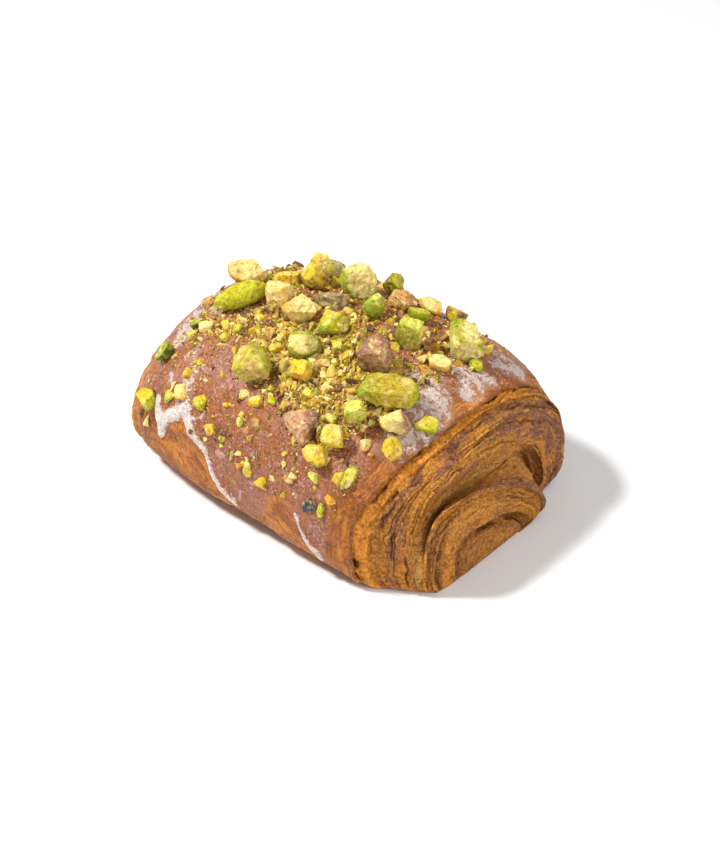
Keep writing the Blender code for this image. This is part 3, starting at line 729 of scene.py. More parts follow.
def makeEnd(side, material):
    end, (outward, _) = ends["both"] | ends[side], sides[side]
    seed = end["noise"]
    every, layer = endRings(side, end)
    normals = gridNormals(every)
    over, around = gridGrain(every)
    across = every[..., 1]
    # relief: the torn edges of thin layers, streaks along them, and crumb
    wander = layeredNoise(every / 6, 2, seed)
    ragged = layeredNoise(every / 2.3, 2, seed + 1)
    calm = 1 - 0.6 * smoothStep(6.2, 7.0, layer)  # the last layers are smooth
    torn = smoothStep(2, 18, across) * smoothStep(1.9, 0.9, layer)  # the far shoulder is torn
    height, cracks, slits, sheets = 0, 0, np.zeros(over.shape), []
    for number, (period, rise, tear) in enumerate(end["terraces"]):
        step = saw((over + 0.9 * wander + tear * ragged) / period * -outward)
        present = smoothStep(-0.3, 0.3, layeredNoise(every / (2.2 * period), 2, seed + 2 + number)) * calm
        height = height + rise * (step * smoothStep(1.0, 0.92, step) - 0.4) * (0.25 + 0.75 * present)
        sheets.append((step, present))
    (step, present), (thinStep, thinPresent) = sheets
    height = height + end["torn"] * torn * (thinStep - 0.5) * smoothStep(1.0, 0.9, thinStep)
    for number, (period, depth, width) in enumerate(end["cracks"]):
        phase = saw((over + 1.2 * wander + 0.5 * ragged) / period + 0.31 * number)
        line = np.clip(1 - np.abs(phase - 0.5) * period / width, 0, 1)
        shown = smoothStep(-0.15, 0.25, cellNoise(stacked(over / period, around / 9, 0), seed + 40 + number))
        height = height - depth * line * shown * calm
        cracks = np.maximum(cracks, line * shown * calm)

    def near(place, half, low, high):  # how near a point is to a place, between two y
        share = np.exp(-((layer + 0.05 * wander + 0.04 * ragged - place) / half) ** 2)
        return share * smoothStep(low - 1.5, low + 1.5, across) * smoothStep(high + 1.5, high - 1.5, across)

    for place, half, depth, low, high, share in end["slits"]:
        slit = near(place, half, low, high)
        height = height - depth * slit
        slits = np.maximum(slits, share * slit)
    grain = stacked(over + 0.35 * wander + 0.15 * ragged, around / 8, 0)
    streaks = sum(high * cellNoise(grain / wide + 5, seed + 10 + number)
                  for number, (wide, high) in enumerate(end["streaks"]))
    lumps = end["lumps"] * layeredNoise(every / 3.0, 2, seed + 21)
    grit = end["grit"] * layeredNoise(every / 0.75, 2, seed + 20)
    pits = smoothStep(0.25, 0.6, cellNoise(every / 0.8, seed + 22))
    every = raised(every, normals, height + streaks + lumps + grit - end["pits"] * pits)
    foot = smoothStep(0.12, 0.0, every[..., 2]) * smoothStep(0, 0.5, layer)
    every[..., 0] -= outward * end["undercut"] * foot
    # colours
    stops, shades, shares = zip(*end["colours"])
    shift = layer + 0.10 * wander + 0.07 * ragged
    tint = stacked(*[np.interp(shift, stops, channel) for channel in rgbArray(shades).T])
    # The fourth of these tones, (88, 50, 22), is painted shade.
    browned, pale, golden, paintedShade, warm = rgbArray([
        (136, 86, 70), (238, 170, 70), (214, 142, 44), (88, 50, 22), (244, 154, 60)])
    bands = cellNoise(stacked((over + 0.5 * ragged) / 2.1, around / 16, 0), seed + 30)
    blotch = layeredNoise(stacked((over + 0.9 * ragged) / 5, around / 9, 0), 2, seed + 31)
    blotch = blotch + 0.5 * smoothStep(14, 32, every[..., 1])
    exposed = smoothStep(6, 26, every[..., 2]) + smoothStep(10, 26, every[..., 1])
    browning = (0.45 + 0.6 * exposed) * np.interp(shift, stops, shares) + 0.15 * exposed
    browning = np.clip(browning + 0.4 * smoothStep(16, 34, every[..., 1]), 0, 0.95)
    shown = 1 - 0.8 * smoothStep(3.0, 3.3, layer) * smoothStep(4.8, 4.5, layer)
    tint = painted(
        tint,
        (golden, 0.4 * smoothStep(0.52, 0.40, step) * (0.4 + 0.6 * present)),
        (browned, browning * smoothStep(-0.25, 0.05, blotch + 0.15 * ragged)
         * (0.5 + 0.5 * smoothStep(0.36, 0.52, step + 0.15 * ragged))),
        (golden * 0.95, 0.35 * smoothStep(-0.05, -0.35, blotch) * shown),
        (golden, 0.35 * smoothStep(0.0, 0.5, bands) * (1 - 0.8 * browning)),
        (pale, 0.65 * smoothStep(0.76, 0.92, step + 0.1 * ragged) * present * shown),
        (pale, 0.35 * smoothStep(0.80, 0.92, thinStep) * thinPresent),
        # Painted shade: at the foot of each sheet's step, in the cracks and slits, at the torn steps, and in
        # the pits with random darker patches.
        (paintedShade, 0.6 * smoothStep(0.13, 0.03, step) * present * shown),
        (paintedShade, 0.75 * cracks * shown),
        *[(warm, share * near(*flap) * smoothStep(-0.6, 0.1, ragged)) for *flap, share in end["flaps"]],
        (paintedShade * 0.7, slits),
        (paintedShade, 0.6 * torn * smoothStep(0.25, 0.05, thinStep)),
        (paintedShade, np.clip(0.4 * pits + 0.2 * smoothStep(0.2, 0.6, -ragged), 0, 0.6)),
    )
    return skin(end["name"], every, {"tint": tint, "grain": stacked(over, around, 0)}, material)


def crustMaterial():
    graph = Graph(bpy.data.materials.new("baked crust"))
    place = graph.place()
    film, drip, patch, browning, density = (
        graph.attribute(name) for name in ("film", "drip", "patch", "browning", "density"))
    streak = graph.attribute("streak", output=1)
    broad = graph.noise(place, 110, 3)
    mottle = graph.noise(place, 430, 4, 0.62)
    fine = graph.noise(place, 1500, 3, 0.65)
    frost = graph.noise(place, 1500, 3, 0.7, 0.6)
    blotches = graph.noise(place, 240, 3, 0.6, 0.8)
    wisps = graph.noise(graph.stretched(place, (1, 1, 0.55)), 300, 4, 0.6, 1.6)
    grain = graph.noise(graph.stretched(streak, (1.7, 0.16, 0.16)), 1.0, 5, 0.65)
    wide = graph.noise(graph.stretched(streak, (0.5, 0.07, 0.07)), 1.0, 3, 0.55)
    mottled, speckled, blotched = mottle - 0.5, fine - 0.5, blotches - 0.5
    # bare crust
    tone = graph.covered(
        graph.mix(graph.step(broad, 0.38, 0.62), rgb(208, 126, 42), rgb(164, 92, 34)),
        (wide, 0.50, 0.64, 0.6, (136, 74, 32)),
        (grain, 0.51, 0.64, 0.65, (110, 58, 26)),
        (grain, 0.47, 0.36, 0.6, (226, 148, 52)),
        (mottle, 0.52, 0.62, 0.6, (124, 66, 30)),
        (fine, 0.56, 0.68, 0.5, (238, 172, 96)),
        (fine, 0.44, 0.34, 0.5, (114, 62, 34)),
    )
    # film: a thin veil, thicker in blotches and wisps, with frost
    nearDrip = graph.step(drip, -0.4, 0.1)
    crisp = graph.step(film + mottled * 0.6, -0.1, 0.15)
    inFilm = graph.step(film + mottled * 2.6 + speckled * 0.8, -0.6, 1.5)
    inFilm = inFilm * (1 - nearDrip) + crisp * nearDrip
    edgeLine = graph.step(film, -0.8, -0.1) * (1 - crisp) * nearDrip
    veil = 0.04 + graph.step(blotches, 0.44, 0.58) * 0.42 + graph.step(mottle, 0.48, 0.60) * 0.16
    veil = veil + graph.step(wisps, 0.53, 0.62) * 0.46
    under = graph.covered(
        graph.mix(0.6, tone, rgb(132, 70, 30)),
        (mottle, 0.48, 0.38, 0.5, (96, 46, 24)),
        (blotches, 0.46, 0.37, 0.6, (168, 98, 42)),
    )
    filmTone = graph.covered(
        graph.mix(veil, under, rgb(150, 97, 83)),
        (wisps, 0.56, 0.66, graph.step(blotches, 0.42, 0.56) * 0.5, (206, 170, 160)),
        (frost, 0.54, 0.63, 0.18 + graph.step(broad, 0.44, 0.56) * 0.42, (214, 168, 140)),
        (frost, 0.46, 0.37, 0.55, (88, 42, 26)),
    )
    tone = graph.mix(edgeLine * 0.6, tone, rgb(96, 50, 24))
    tone = graph.mix(inFilm * 0.95, tone, filmTone)
    # painted shade in the gaps between crumbs, where they lie thick, then haze and white
    gapShade = graph.mix(graph.step(fine, 0.42, 0.58), rgb(36, 20, 16), rgb(86, 50, 28))
    white = graph.mix(graph.step(fine, 0.36, 0.66), rgb(204, 186, 174), rgb(238, 232, 228))
    haze = patch + mottled * 1.4 + (wisps - 0.5) * 1.6
    lace = patch * 0.55 + mottled * 3.2 + speckled * 1.8 + blotched * 1.2
    inPatch = graph.step(lace, 0.02, 0.36) * graph.step(patch + mottled * 1.6, -0.1, 0.2)
    run = drip + mottled * 0.7 + speckled * 0.6 + blotched * 1.3
    tone = graph.covered(
        tone, (density, 0.12, 0.55, 0.88, gapShade), (haze, -0.75, 0.35, 0.42, (182, 144, 126)))
    tone = graph.covered(
        graph.mix(inPatch * 0.52, tone, white),
        (run, -0.10, 0.45, inFilm * 0.84, white), (browning, 0.2, 0.95, 0.75, (110, 62, 32)))
    rough = 0.50 - inFilm * 0.12 + speckled * 0.4
    height = mottled * 0.7 + speckled * 0.5 + (grain - 0.5) * (1 - inFilm) * 1.4 + inPatch * 0.25
    return graph.finish(Base_Color=tone, Roughness=rough, Normal=graph.bump(height, 0.0005),
                        Coat_Weight=inFilm * 0.08, Coat_Roughness=0.3, Specular_IOR_Level=0.3)


def layerMaterial():
    graph = Graph(bpy.data.materials.new("layered crumb"))
    place = graph.place()
    tint = graph.attribute("tint", output=0)
    grain = graph.attribute("grain", output=1)
    lines = graph.noise(graph.stretched(grain, (1.5, 0.30, 1)), 1.0, 4, 0.66)
    pores = graph.noise(place, 1500, 3, 0.72)
    mottle = graph.noise(place, 500, 3, 0.65)
    dark = graph.mix(1.0, tint, rgb(206, 178, 160), "MULTIPLY")
    paintedShade = graph.mix(1.0, tint, rgb(150, 116, 84), "MULTIPLY")
    light = graph.mix(0.4, tint, rgb(242, 182, 84))
    tone = graph.covered(
        tint,
        (lines, 0.52, 0.64, 0.2, dark),
        (lines, 0.47, 0.36, 0.2, light),
        (mottle, 0.52, 0.62, 0.28, dark),
        # painted shade in the pores, which the bump sinks
        (pores, 0.55, 0.66, 0.27, paintedShade),
        (pores, 0.46, 0.36, 0.55, light),
    )
    height = (lines - 0.5) * 0.25 - graph.step(pores, 0.50, 0.64) * 0.5 + (mottle - 0.5) * 0.4
    return graph.finish(
        Base_Color=tone, Roughness=0.65, Normal=graph.bump(height, 0.0004), Specular_IOR_Level=0.2)


# Each loose piece of kernel: its cut, x and degrees round the crust where it lies, its length, width and
# height in mm, its turn (yaw, pitch and roll in degrees), and its looks: flesh, the rim of a cut, the outer
# skin, a second tone and where it lies, and then how much of that tone.
nuts = [
    ("chunk", -42.8, 85, (11.8, 8.5, 7), (35, 10, 0), "cream yellow tan tan left", 0.5),
    ("whole", -34.5, 98, (17, 7.8, 6.2), (68, 0, 0), "lime lime lime green down", 0.45),
    ("block", -24.4, 93, (7.5, 8.2, 8.6), (20, 0, 8), "cream yellow tan orange down", 0.3),
    ("chunk", -16, 94, (10.2, 8, 6.4), (45, 0, 0), "cream lime tan orange left", 0.5),
    ("chunk", -25.1, 76, (8.5, 8, 7.8), (60, 10, 0), "yellow lime skin skin right", 0.6),
    ("whole", -28.5, 59, (10.5, 5.6, 4.8), (12, 0, 0), "olive lime grey skin left", 0.4),
    ("chunk", -35, 54, (6.6, 5.2, 5.2), (30, 0, 0), "yellow lime tan cream up", 0.4),
    ("slab", -33.5, 79, (8.5, 4, 3), (40, 0, 0), "yellow lime tan cream up", 0.3),
    ("slab", -13.2, 84, (10.5, 7, 3.6), (38, 0, -12), "grey skin skin mauve right", 0.5),
    ("chunk", -3.7, 95, (9.5, 9, 5.5), (80, 0, 0), "lime green green skin right", 0.4),
    ("chunk", -12.6, 71, (11.2, 9.2, 8.8), (50, 0, 0), "cream lime green darkGreen down", 0.5),
    ("chunk", -9, 56, (7, 6, 5.6), (70, 0, 0), "lime green skin skin right", 0.5),
    ("slab", 1, 67, (8.6, 6.8, 3.6), (15, 8, 10), "tan skin skin skin right", 0.7),
    ("crescent", -0.5, 81, (9.5, 5, 5.8), (100, 0, 0), "pale green green green right", 0.6),
    ("half", 8.5, 71, (6.6, 4.6, 3.6), (25, 0, 0), "lime green green green down", 0.4),
    ("chunk", 6, 59, (8.4, 5.4, 4.4), (30, 0, 0), "cream lime tan orange right", 0.6),
    ("half", 12.5, 53, (6.6, 4.4, 3.8), (35, 0, 0), "yellow lime skin skin right", 0.6),
    ("block", 25.9, 76, (11.2, 8.2, 8), (-35, 12, 0), "cream lime green green left", 0.5),
    ("block", 15, 87, (7.2, 6, 9), (30, 0, 10), "pale lime green green down", 0.5),
    ("end", 14.5, 100, (10.5, 9.4, 8.8), (-60, 0, 0), "rose skin mauve mauve left", 0.7),
    ("half", 26.6, 89, (6.8, 4.4, 3.4), (20, 0, 0), "cream yellow tan cream up", 0.3),
    ("end", -3.7, 108, (8.6, 7.6, 6.4), (210, 0, 0), "cream pale green darkGreen right", 0.6),
    ("end", -12.6, 125, (10, 10.4, 7.6), (-60, 10, 0), "straw lime olive lime left", 0.5),
    ("slab", 24.4, 109, (16.8, 10.8, 5.2), (35, 0, -14), "honey lime green green left", 0.5),
    ("chunk", 31.6, 117, (9, 7, 5.8), (30, 0, 0), "cream yellow skin mauve right", 0.95),
    ("slab", 36.8, 110, (6, 4.6, 2.8), (40, 0, 0), "lime green tan yellow up", 0.4),
    ("wedge", 35.5, 126, (5.6, 6.2, 4.2), (60, 0, 0), "yellow lime tan orange down", 0.4),
    ("wedge", 9.2, 139, (10.4, 9.8, 4.8), (100, 0, 0), "rose skin mauve purple right", 0.6),
    ("block", 22.1, 124, (6.2, 4.2, 8.2), (60, 0, 0), "pale green green green down", 0.4),
    ("block", 20.6, 136, (6, 6, 5.6), (30, 0, 0), "yellow lime tan cream up", 0.4),
    ("chunk", 18, 147, (6.2, 8.2, 4.6), (100, 0, 0), "yellow olive olive olive right", 0.5),
    ("wedge", -44.7, 162, (6.2, 6, 3.4), (100, 0, 0), "lime green green yellow up", 0.4),
    ("half", -44.7, 136, (6.2, 4.2, 3), (70, 0, 0), "green darkGreen darkGreen lime up", 0.4),
    ("block", 0.8, 119, (5.4, 6.4, 5.6), (110, 0, 0), "yellow orange tan orange down", 0.6),
]
nutTones = {
    "cream": (240, 216, 136), "pale": (220, 214, 92), "lime": (194, 188, 4), "green": (142, 158, 6),
    "darkGreen": (84, 100, 14), "yellow": (234, 194, 36), "orange": (230, 160, 30), "olive": (150, 136, 36),
    "straw": (198, 164, 86), "honey": (188, 160, 30), "tan": (216, 160, 92), "skin": (146, 98, 66),
    "grey": (158, 142, 106), "mauve": (158, 108, 94), "rose": (196, 144, 112), "purple": (88, 50, 58),
    "blueBlack": (50, 52, 66),
}
# Which way a piece's second tone lies, as seen from the camera. Darker tones set below a piece and lighter ones
# above are painted shade and painted light; the rest is the kernel's own colour.
nutWays = {"left": -towardsRight, "right": towardsRight, "up": towardsTop, "down": -towardsTop}
nutShape = {
    "clearance": 0.45,  # mm from the glaze to a piece's lowest point
    "lifts": {9: 0.6, 24: 0.4},  # mm that others hold a piece up
    "sunk": 0.45,  # mm that a piece's foot is pressed into the glaze
    "slant": 0.18,  # how far a cut's direction strays
    "bend": 0.55,  # how bent a crescent is
    "edge": 70,  # how crisp the cut edges are
    "chips": (7, 0.60, 0.92),  # small chips off each piece: how many, and their least and greatest distance
    "wholeChips": (4, 0.92),  # how many on a whole kernel, and their least distance there and on a half
    "crumble": (0.24, 0.07),  # mm of roughness, broad and fine
    "slabCrumble": 1.9,  # how much rougher a slab is
    "fineness": {"nut": 5, "bit": 4, "speck": 3},
}
cuts = {  # the planes that cut a kernel: which way each faces, and how far out it lies
    "whole": [((1, 0.2, 0.3), 0.86)],
    "half": [((0, 0, 1), 0.25), ((1, 0.3, 0), 0.8)],
    "end": [((1, 0, 0), 0.35), ((0.2, 0.3, 1), 0.85)],
    "slab": [((0, 0, 1), 0.42), ((0, 0, -1), 0.42), ((0, -1, 0), 0.62), ((-0.8, 0.6, 0), 0.8)],
    "block": [((1, 0, 0), 0.6), ((-1, 0.3, 0), 0.7), ((0, 1, 0.2), 0.66), ((0, -1, 0), 0.6), ((0, 0, 1), 0.68)],
    "wedge": [((0.7, 0, 0.7), 0.35), ((-0.8, 0.5, 0.3), 0.5), ((0, -1, 0.2), 0.6)],
    "chunk": [((0.9, 0.3, 0.3), 0.55), ((-0.6, 0.7, 0.4), 0.6), ((0.1, -0.8, 0.5), 0.55), ((0, 0.2, 1), 0.62)],
    "crescent": [((0, 0, 1), 0.7), ((1, 0, 0), 0.9)],
}


# Where a piece lies on the crust: x along it, y round it, z straight out of it.
def crustFrame(x, around):
    place, angle = float(crownPlace(x)), radians(around)
    here = bodyPoints(np.array([place]), np.array([angle - 0.02, angle, angle + 0.02]))[0]
    ahead = bodyPoints(np.array([min(place + 0.02, lastPlace)]), np.array([angle]))[0, 0]
    normal = Vector(ahead - here[1]).cross(Vector(here[2] - here[0])).normalized()
    if normal.z < 0 and around < 180:
        normal.negate()
    forward = (Vector((1, 0, 0)) - normal * normal.x).normalized()
    turned = Matrix((forward, normal.cross(forward), normal)).transposed().to_4x4()
    return Matrix.Translation(Vector(here[1]) - Vector((*roll["centre"], 0))) @ turned


def cutPlanes(kind, draw):
    planes, slant = [], nutShape["slant"]
    for direction, distance in cuts[kind]:
        slanted = Vector([part + draw.uniform(-slant, slant) for part in direction]).normalized()
        planes.append((np.array(slanted), distance * draw.uniform(0.9, 1.1)))
    return planes


@cache
def ball(fineness):
    form = bmesh.new()
    bmesh.ops.create_icosphere(form, subdivisions=fineness, radius=1)
    points = np.array([vert.co[:] for vert in form.verts])
    faces = np.array([[vert.index for vert in face.verts] for face in form.faces])
    form.free()
    return points, faces


# One piece of nut: its points in the final frame in mm, its faces and its colours.
def nutPiece(kind, frame, size, turn, height, seed, looks, grade, sunk):
    ballPoints, faces = ball(nutShape["fineness"][grade])
    planes = cutPlanes(kind, random.Random(seed))
    chip = np.random.default_rng(seed + 5000)
    count, least, greatest = nutShape["chips"]
    fewer, farther = nutShape["wholeChips"]
    least = farther if kind in ("whole", "half") else least
    for _ in range(fewer if kind == "whole" else count):
        direction = chip.normal(size=3)
        planes.append((direction / np.linalg.norm(direction), chip.uniform(least, greatest)))
    facing = np.stack([np.clip(ballPoints @ direction, 0, None) / distance for direction, distance in planes])
    sharp = nutShape["edge"]
    reach = (1 + (facing ** sharp).sum(axis=0)) ** (-1 / sharp)
    points = ballPoints * reach[:, None]
    if kind == "crescent":
        points[:, 1] += nutShape["bend"] * points[:, 0] ** 2
    low, high = points.min(axis=0), points.max(axis=0)
    points = ((points - low) / (high - low) - 0.5) * np.array(size)
    # crumbled surface
    broad, fine = nutShape["crumble"]
    broad = broad * (nutShape["slabCrumble"] if kind == "slab" and grade == "nut" else 1)
    cutness = 0.3 + 0.7 * smoothStep(0.02, 0.12, 1 - reach)
    rough = 2 * broad * (min(size) / 5) * (0.25 - np.abs(layeredNoise(points / 1.9 + seed, 2, 401)))
    rough = rough + fine * layeredNoise(points / 0.6 + seed, 2, 402)
    points = points + unit(points) * (rough * cutness)[:, None]
    yaw, pitch, rollAngle = (radians(angle) for angle in turn)
    points = points @ np.array(Euler((rollAngle, pitch, yaw)).to_matrix()).T
    points[:, 2] += height - points[:, 2].min()
    share = (points[:, 2] - height) / (points[:, 2].max() - height)
    points[:, 2] -= (sunk + max(height, 0)) * np.clip(1 - share, 0, 1) ** 1.5
    matrix = np.array(frame)
    points = points @ matrix[:3, :3].T + matrix[:3, 3]
    # colours
    *names, way = looks[0].split()
    flesh, rim, outer, second, cream = rgbArray([nutTones[name] for name in (*names, "cream")])
    depth = 1 - reach  # 0 on the outer skin
    spots = layeredNoise(points / 1.5 + seed, 3, 403)
    lean = unit(points - points.mean(axis=0)) @ nutWays[way]
    tint = painted(
        flesh,
        (rim, 0.85 * (1 - smoothStep(0.03, 0.13, depth + 0.06 * spots))),
        (outer, 0.85 * (1 - smoothStep(0.003, 0.03, depth + 0.03 * spots))),
        # partly painted shade below and painted light above, partly the kernel's own colour
        (second, looks[1] * smoothStep(0.05, 0.75, lean + 0.35 * spots)),
        (cream, 0.6 * smoothStep(0.1, 0.5, spots) * smoothStep(0.02, 0.1, depth)),
    )
    shadow = min(size[2] / 6, 0.5) * smoothStep(0.4, 0.0, share + 0.2 * spots)  # dark at the foot
    mottle = 1 + 0.16 * layeredNoise(points / 0.8 + seed, 2, 404)
    return points, faces, np.clip(tint * (mottle * (1 - shadow))[:, None], 0, 1)


def joinedPieces(name, pieces, material):
    points = np.concatenate([piece[0] for piece in pieces]) * mm
    offsets = np.cumsum([0] + [len(piece[0]) for piece in pieces[:-1]])
    faces = np.concatenate([piece[1] + offset for piece, offset in zip(pieces, offsets)])
    mesh = bpy.data.meshes.new(name)
    mesh.from_pydata(points.tolist(), [], faces.tolist())
    addAttribute(mesh, "tint", np.concatenate([piece[2] for piece in pieces]))
    mesh.shade_smooth()
    mesh.set_sharp_from_angle(angle=radians(50))
    return newObject(name, mesh, material)


def makeNuts(material):
    for number, (kind, x, around, size, turn, *looks) in enumerate(nuts, start=1):
        height = nutShape["clearance"] + nutShape["lifts"].get(number, 0)
        frame = crustFrame(x, around)
        piece = nutPiece(kind, frame, size, turn, height, 10 + number, looks, "nut", nutShape["sunk"])
        made = joinedPieces(f"nut{number:02d}", [piece], material)
        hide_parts(f"pistachio_{number:02d}")
        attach(made, "root")


# The bits stuck to the glaze, scattered by the CAD's own rule, and the few small ones that lie apart.
bits = {
    "patches": [  # x, degrees, how far they spread in each, and how many tries
        (-30, 108, 8, 9, 40), (-12, 108, 10, 10, 70), (4, 112, 10, 10, 90), (14, 128, 8, 10, 60),
        (8, 76, 12, 10, 40), (-22, 70, 10, 10, 20), (-2, 140, 28, 16, 22), (-36, 145, 7, 14, 8),
    ],
    "sizes": (2.6, 4.8),  # mm long
    "width": (0.6, 1.0),  # shares of the length
    "height": (0.6, 0.9),
    "kinds": ("chunk", "block", "wedge"),
    "seed": 7,
    "sunk": 0.4,  # share of a bit's height
    "room": 0.4,  # mm between a bit and a nut
    "reach": 0.5,  # share of a bit's length kept free of others
    "along": (-46, 34),  # where they may lie: x, and degrees
    "around": (50, 168),
    "groups": {  # grade, mm up from the glaze, first seed, mm sunk
        "alone": ("bit", -0.3, 900, 0.2),
        "specks": ("speck", -0.1, 950, 0.1),
    },
    "looks": [
        ("cream yellow tan orange down", 0.4), ("lime green green yellow up", 0.4),
        ("yellow lime tan cream up", 0.4), ("pale lime green green right", 0.5),
        ("cream tan skin skin right", 0.5), ("tan skin skin skin left", 0.5),
        ("olive skin skin purple right", 0.5), ("yellow yellow orange orange down", 0.5),
        ("cream lime lime green down", 0.4),
    ],
    "alone": [  # cut, x, degrees, size, yaw, looks
        ("chunk", 32.2, 78, (4.6, 4, 3), 30, "lime green green green down", 0.5),
        ("wedge", -36.5, 156, (4.4, 3.2, 2), 60, "lime green green green down", 0.5),
        ("half", -41.8, 116, (4.2, 3, 1.8), 70, "green green darkGreen lime up", 0.4),
        ("block", -18.1, 161, (3.6, 3.2, 2.6), 20, "yellow yellow orange orange down", 0.5),
        ("slab", 30.6, 148, (8, 3.8, 1.8), 80, "lime green green purple down", 0.7),
        ("slab", 20.8, 170, (5.6, 3.8, 1.2), 25, "blueBlack purple purple blueBlack up", 0.5),
        ("slab", 25.5, 169, (4.6, 2.2, 1.3), 90, "lime green green green down", 0.4),
        ("chunk", 1.4, 174, (4.4, 4.2, 1.8), 10, "yellow yellow orange orange down", 0.5),
        ("chunk", -9.4, 180, (3.6, 2.6, 1.7), 40, "yellow tan skin skin down", 0.5),
        ("chunk", -4.3, 170, (2.8, 2.4, 1.6), 60, "cream cream tan yellow up", 0.3),
    ],
    "specks": [  # too small for the CAD
        ("block", 18.6, 106, (2.5, 2.5, 2.5), 20, "lime lime lime green down", 0.4),
        ("chunk", -8, 166.3, (2.4, 1.6, 1.2), 20, "cream cream yellow yellow down", 0.4),
        ("chunk", -6, 170.3, (1.8, 1.5, 1.1), 70, "yellow yellow orange yellow up", 0.3),
        ("slab", -36.4, 150.3, (3.4, 1.1, 0.6), 80, "cream cream pale cream up", 0.3),
        ("slab", 5.1, 169, (2.2, 2, 0.7), 35, "cream cream tan cream up", 0.3),
        ("chunk", 9.7, 165.1, (1.6, 1.3, 0.9), 10, "yellow tan tan yellow up", 0.3),
        ("chunk", -10, 148, (2, 1.6, 1.1), 50, "yellow yellow orange tan down", 0.4),
        ("chunk", -15.8, 146.9, (1.9, 1.5, 1.1), 15, "yellow yellow orange yellow up", 0.3),
        ("slab", -10, 168.8, (4.6, 1.4, 0.8), 75, "grey darkGreen grey yellow down", 0.5),
        ("slab", -7, 153.9, (2.4, 1.8, 0.4), 30, "tan skin skin skin left", 0.4),
        ("slab", 12.5, 157, (2.2, 1.4, 0.4), 65, "mauve skin skin skin left", 0.4),
        ("slab", -1.5, 162, (1.8, 1.2, 0.4), 5, "tan tan skin skin left", 0.3),
    ],
}


def coveredByNut(point, reach, nutFrames):
    room = reach + bits["room"]
    for (_, _, _, (length, width, _), *_), frame in zip(nuts, nutFrames):
        local = frame @ point
        if (local.x / (length / 2 + room)) ** 2 + (local.y / (width / 2 + room)) ** 2 < 1:
            return True
    return False


def makeBits(material):
    draw = random.Random(bits["seed"])
    nutFrames = [(crustFrame(x, around) @ Matrix.Rotation(radians(turn[0]), 4, "Z")).inverted()
                 for _, x, around, _, turn, *_ in nuts]
    taken, pieces = [], []
    for x, around, spreadX, spreadAround, tries in bits["patches"]:
        for _ in range(tries):
            atX, atAround = draw.gauss(x, spreadX), draw.gauss(around, spreadAround)
            length = draw.uniform(*bits["sizes"])
            size = (length, length * draw.uniform(*bits["width"]), length * draw.uniform(*bits["height"]))
            turn = (draw.uniform(0, 360), 0, 0)
            alongRoll = bits["along"][0] < atX < bits["along"][1]
            if not (alongRoll and bits["around"][0] < atAround < bits["around"][1]):
                continue
            frame = crustFrame(atX, atAround)
            middle, reach = frame.translation, length * bits["reach"]
            tooNear = any((middle - other).length < reach + otherReach for other, otherReach in taken)
            if tooNear or coveredByNut(middle, reach, nutFrames):
                continue
            taken.append((middle, reach))
            count = len(taken)
            kind = bits["kinds"][count % len(bits["kinds"])]
            looks = bits["looks"][(count * 7 + count // 5) % len(bits["looks"])]
            seed = bits["seed"] * 100 + count
            pieces.append(nutPiece(kind, frame, size, turn, -bits["sunk"] * size[2], seed, looks, "bit", 0))
    for group, (grade, height, seed, sunk) in bits["groups"].items():
        for number, (kind, x, around, size, yaw, *looks) in enumerate(bits[group]):
            frame = crustFrame(x, around)
            pieces.append(nutPiece(kind, frame, size, (yaw, 0, 0), height, seed + number, looks, grade, sunk))
    print("bits:", len(taken), "scattered and", len(bits["alone"]), "alone")
    return joinedPieces("choppedBits", pieces, material)


def nutMaterial():
    graph = Graph(bpy.data.materials.new("pistachio kernel"))
    place = graph.place()
    tint = graph.attribute("tint", output=0)
    mottle = graph.noise(place, 620, 4, 0.68)
    fine = graph.noise(place, 1900, 3, 0.65)
    light = graph.mix(0.45, tint, rgb(252, 240, 150))
    dark = graph.mix(1.0, tint, rgb(190, 156, 92), "MULTIPLY")
    tone = graph.covered(
        tint,
        (mottle, 0.52, 0.60, 0.45, light),
        (mottle, 0.46, 0.38, 0.6, dark),
        (fine, 0.55, 0.64, 0.5, light),
        (fine, 0.45, 0.36, 0.45, dark),
    )
    bump = graph.bump((mottle - 0.5) * 0.9 + (fine - 0.5) * 0.6, 0.0006)
    return graph.finish(Base_Color=tone, Roughness=0.55, Normal=bump, Specular_IOR_Level=0.25)


# Crumbs of nut and specks of skin, strewn over the glaze where the nuts lie.
def crumbKinds(count):
    collection = bpy.data.collections.new("crumb kinds")
    for number in range(count):
        draw = np.random.default_rng(600 + number)
        corners = draw.normal(size=(10, 3))
        corners *= draw.uniform(0.75, 1.0, (10, 1)) / np.linalg.norm(corners, axis=1, keepdims=True)
        corners *= [1, draw.uniform(0.6, 0.95), 0.25 if number % 5 == 4 else draw.uniform(0.6, 0.9)]
        form = bmesh.new()
        for corner in corners / (corners.max(axis=0) - corners.min(axis=0)).max() * mm:
            form.verts.new(corner)
        bmesh.ops.convex_hull(form, input=form.verts)
        bmesh.ops.delete(form, geom=[vert for vert in form.verts if not vert.link_faces], context="VERTS")
        bmesh.ops.recalc_face_normals(form, faces=form.faces)
        mesh = bpy.data.meshes.new(f"crumb{number}")
        form.to_mesh(mesh)
        form.free()
        addAttribute(mesh, "shade", draw.uniform(0, 1, len(mesh.vertices)))
        kind = bpy.data.objects.new(f"crumb{number}", mesh)
        collection.objects.link(kind)
    return collection


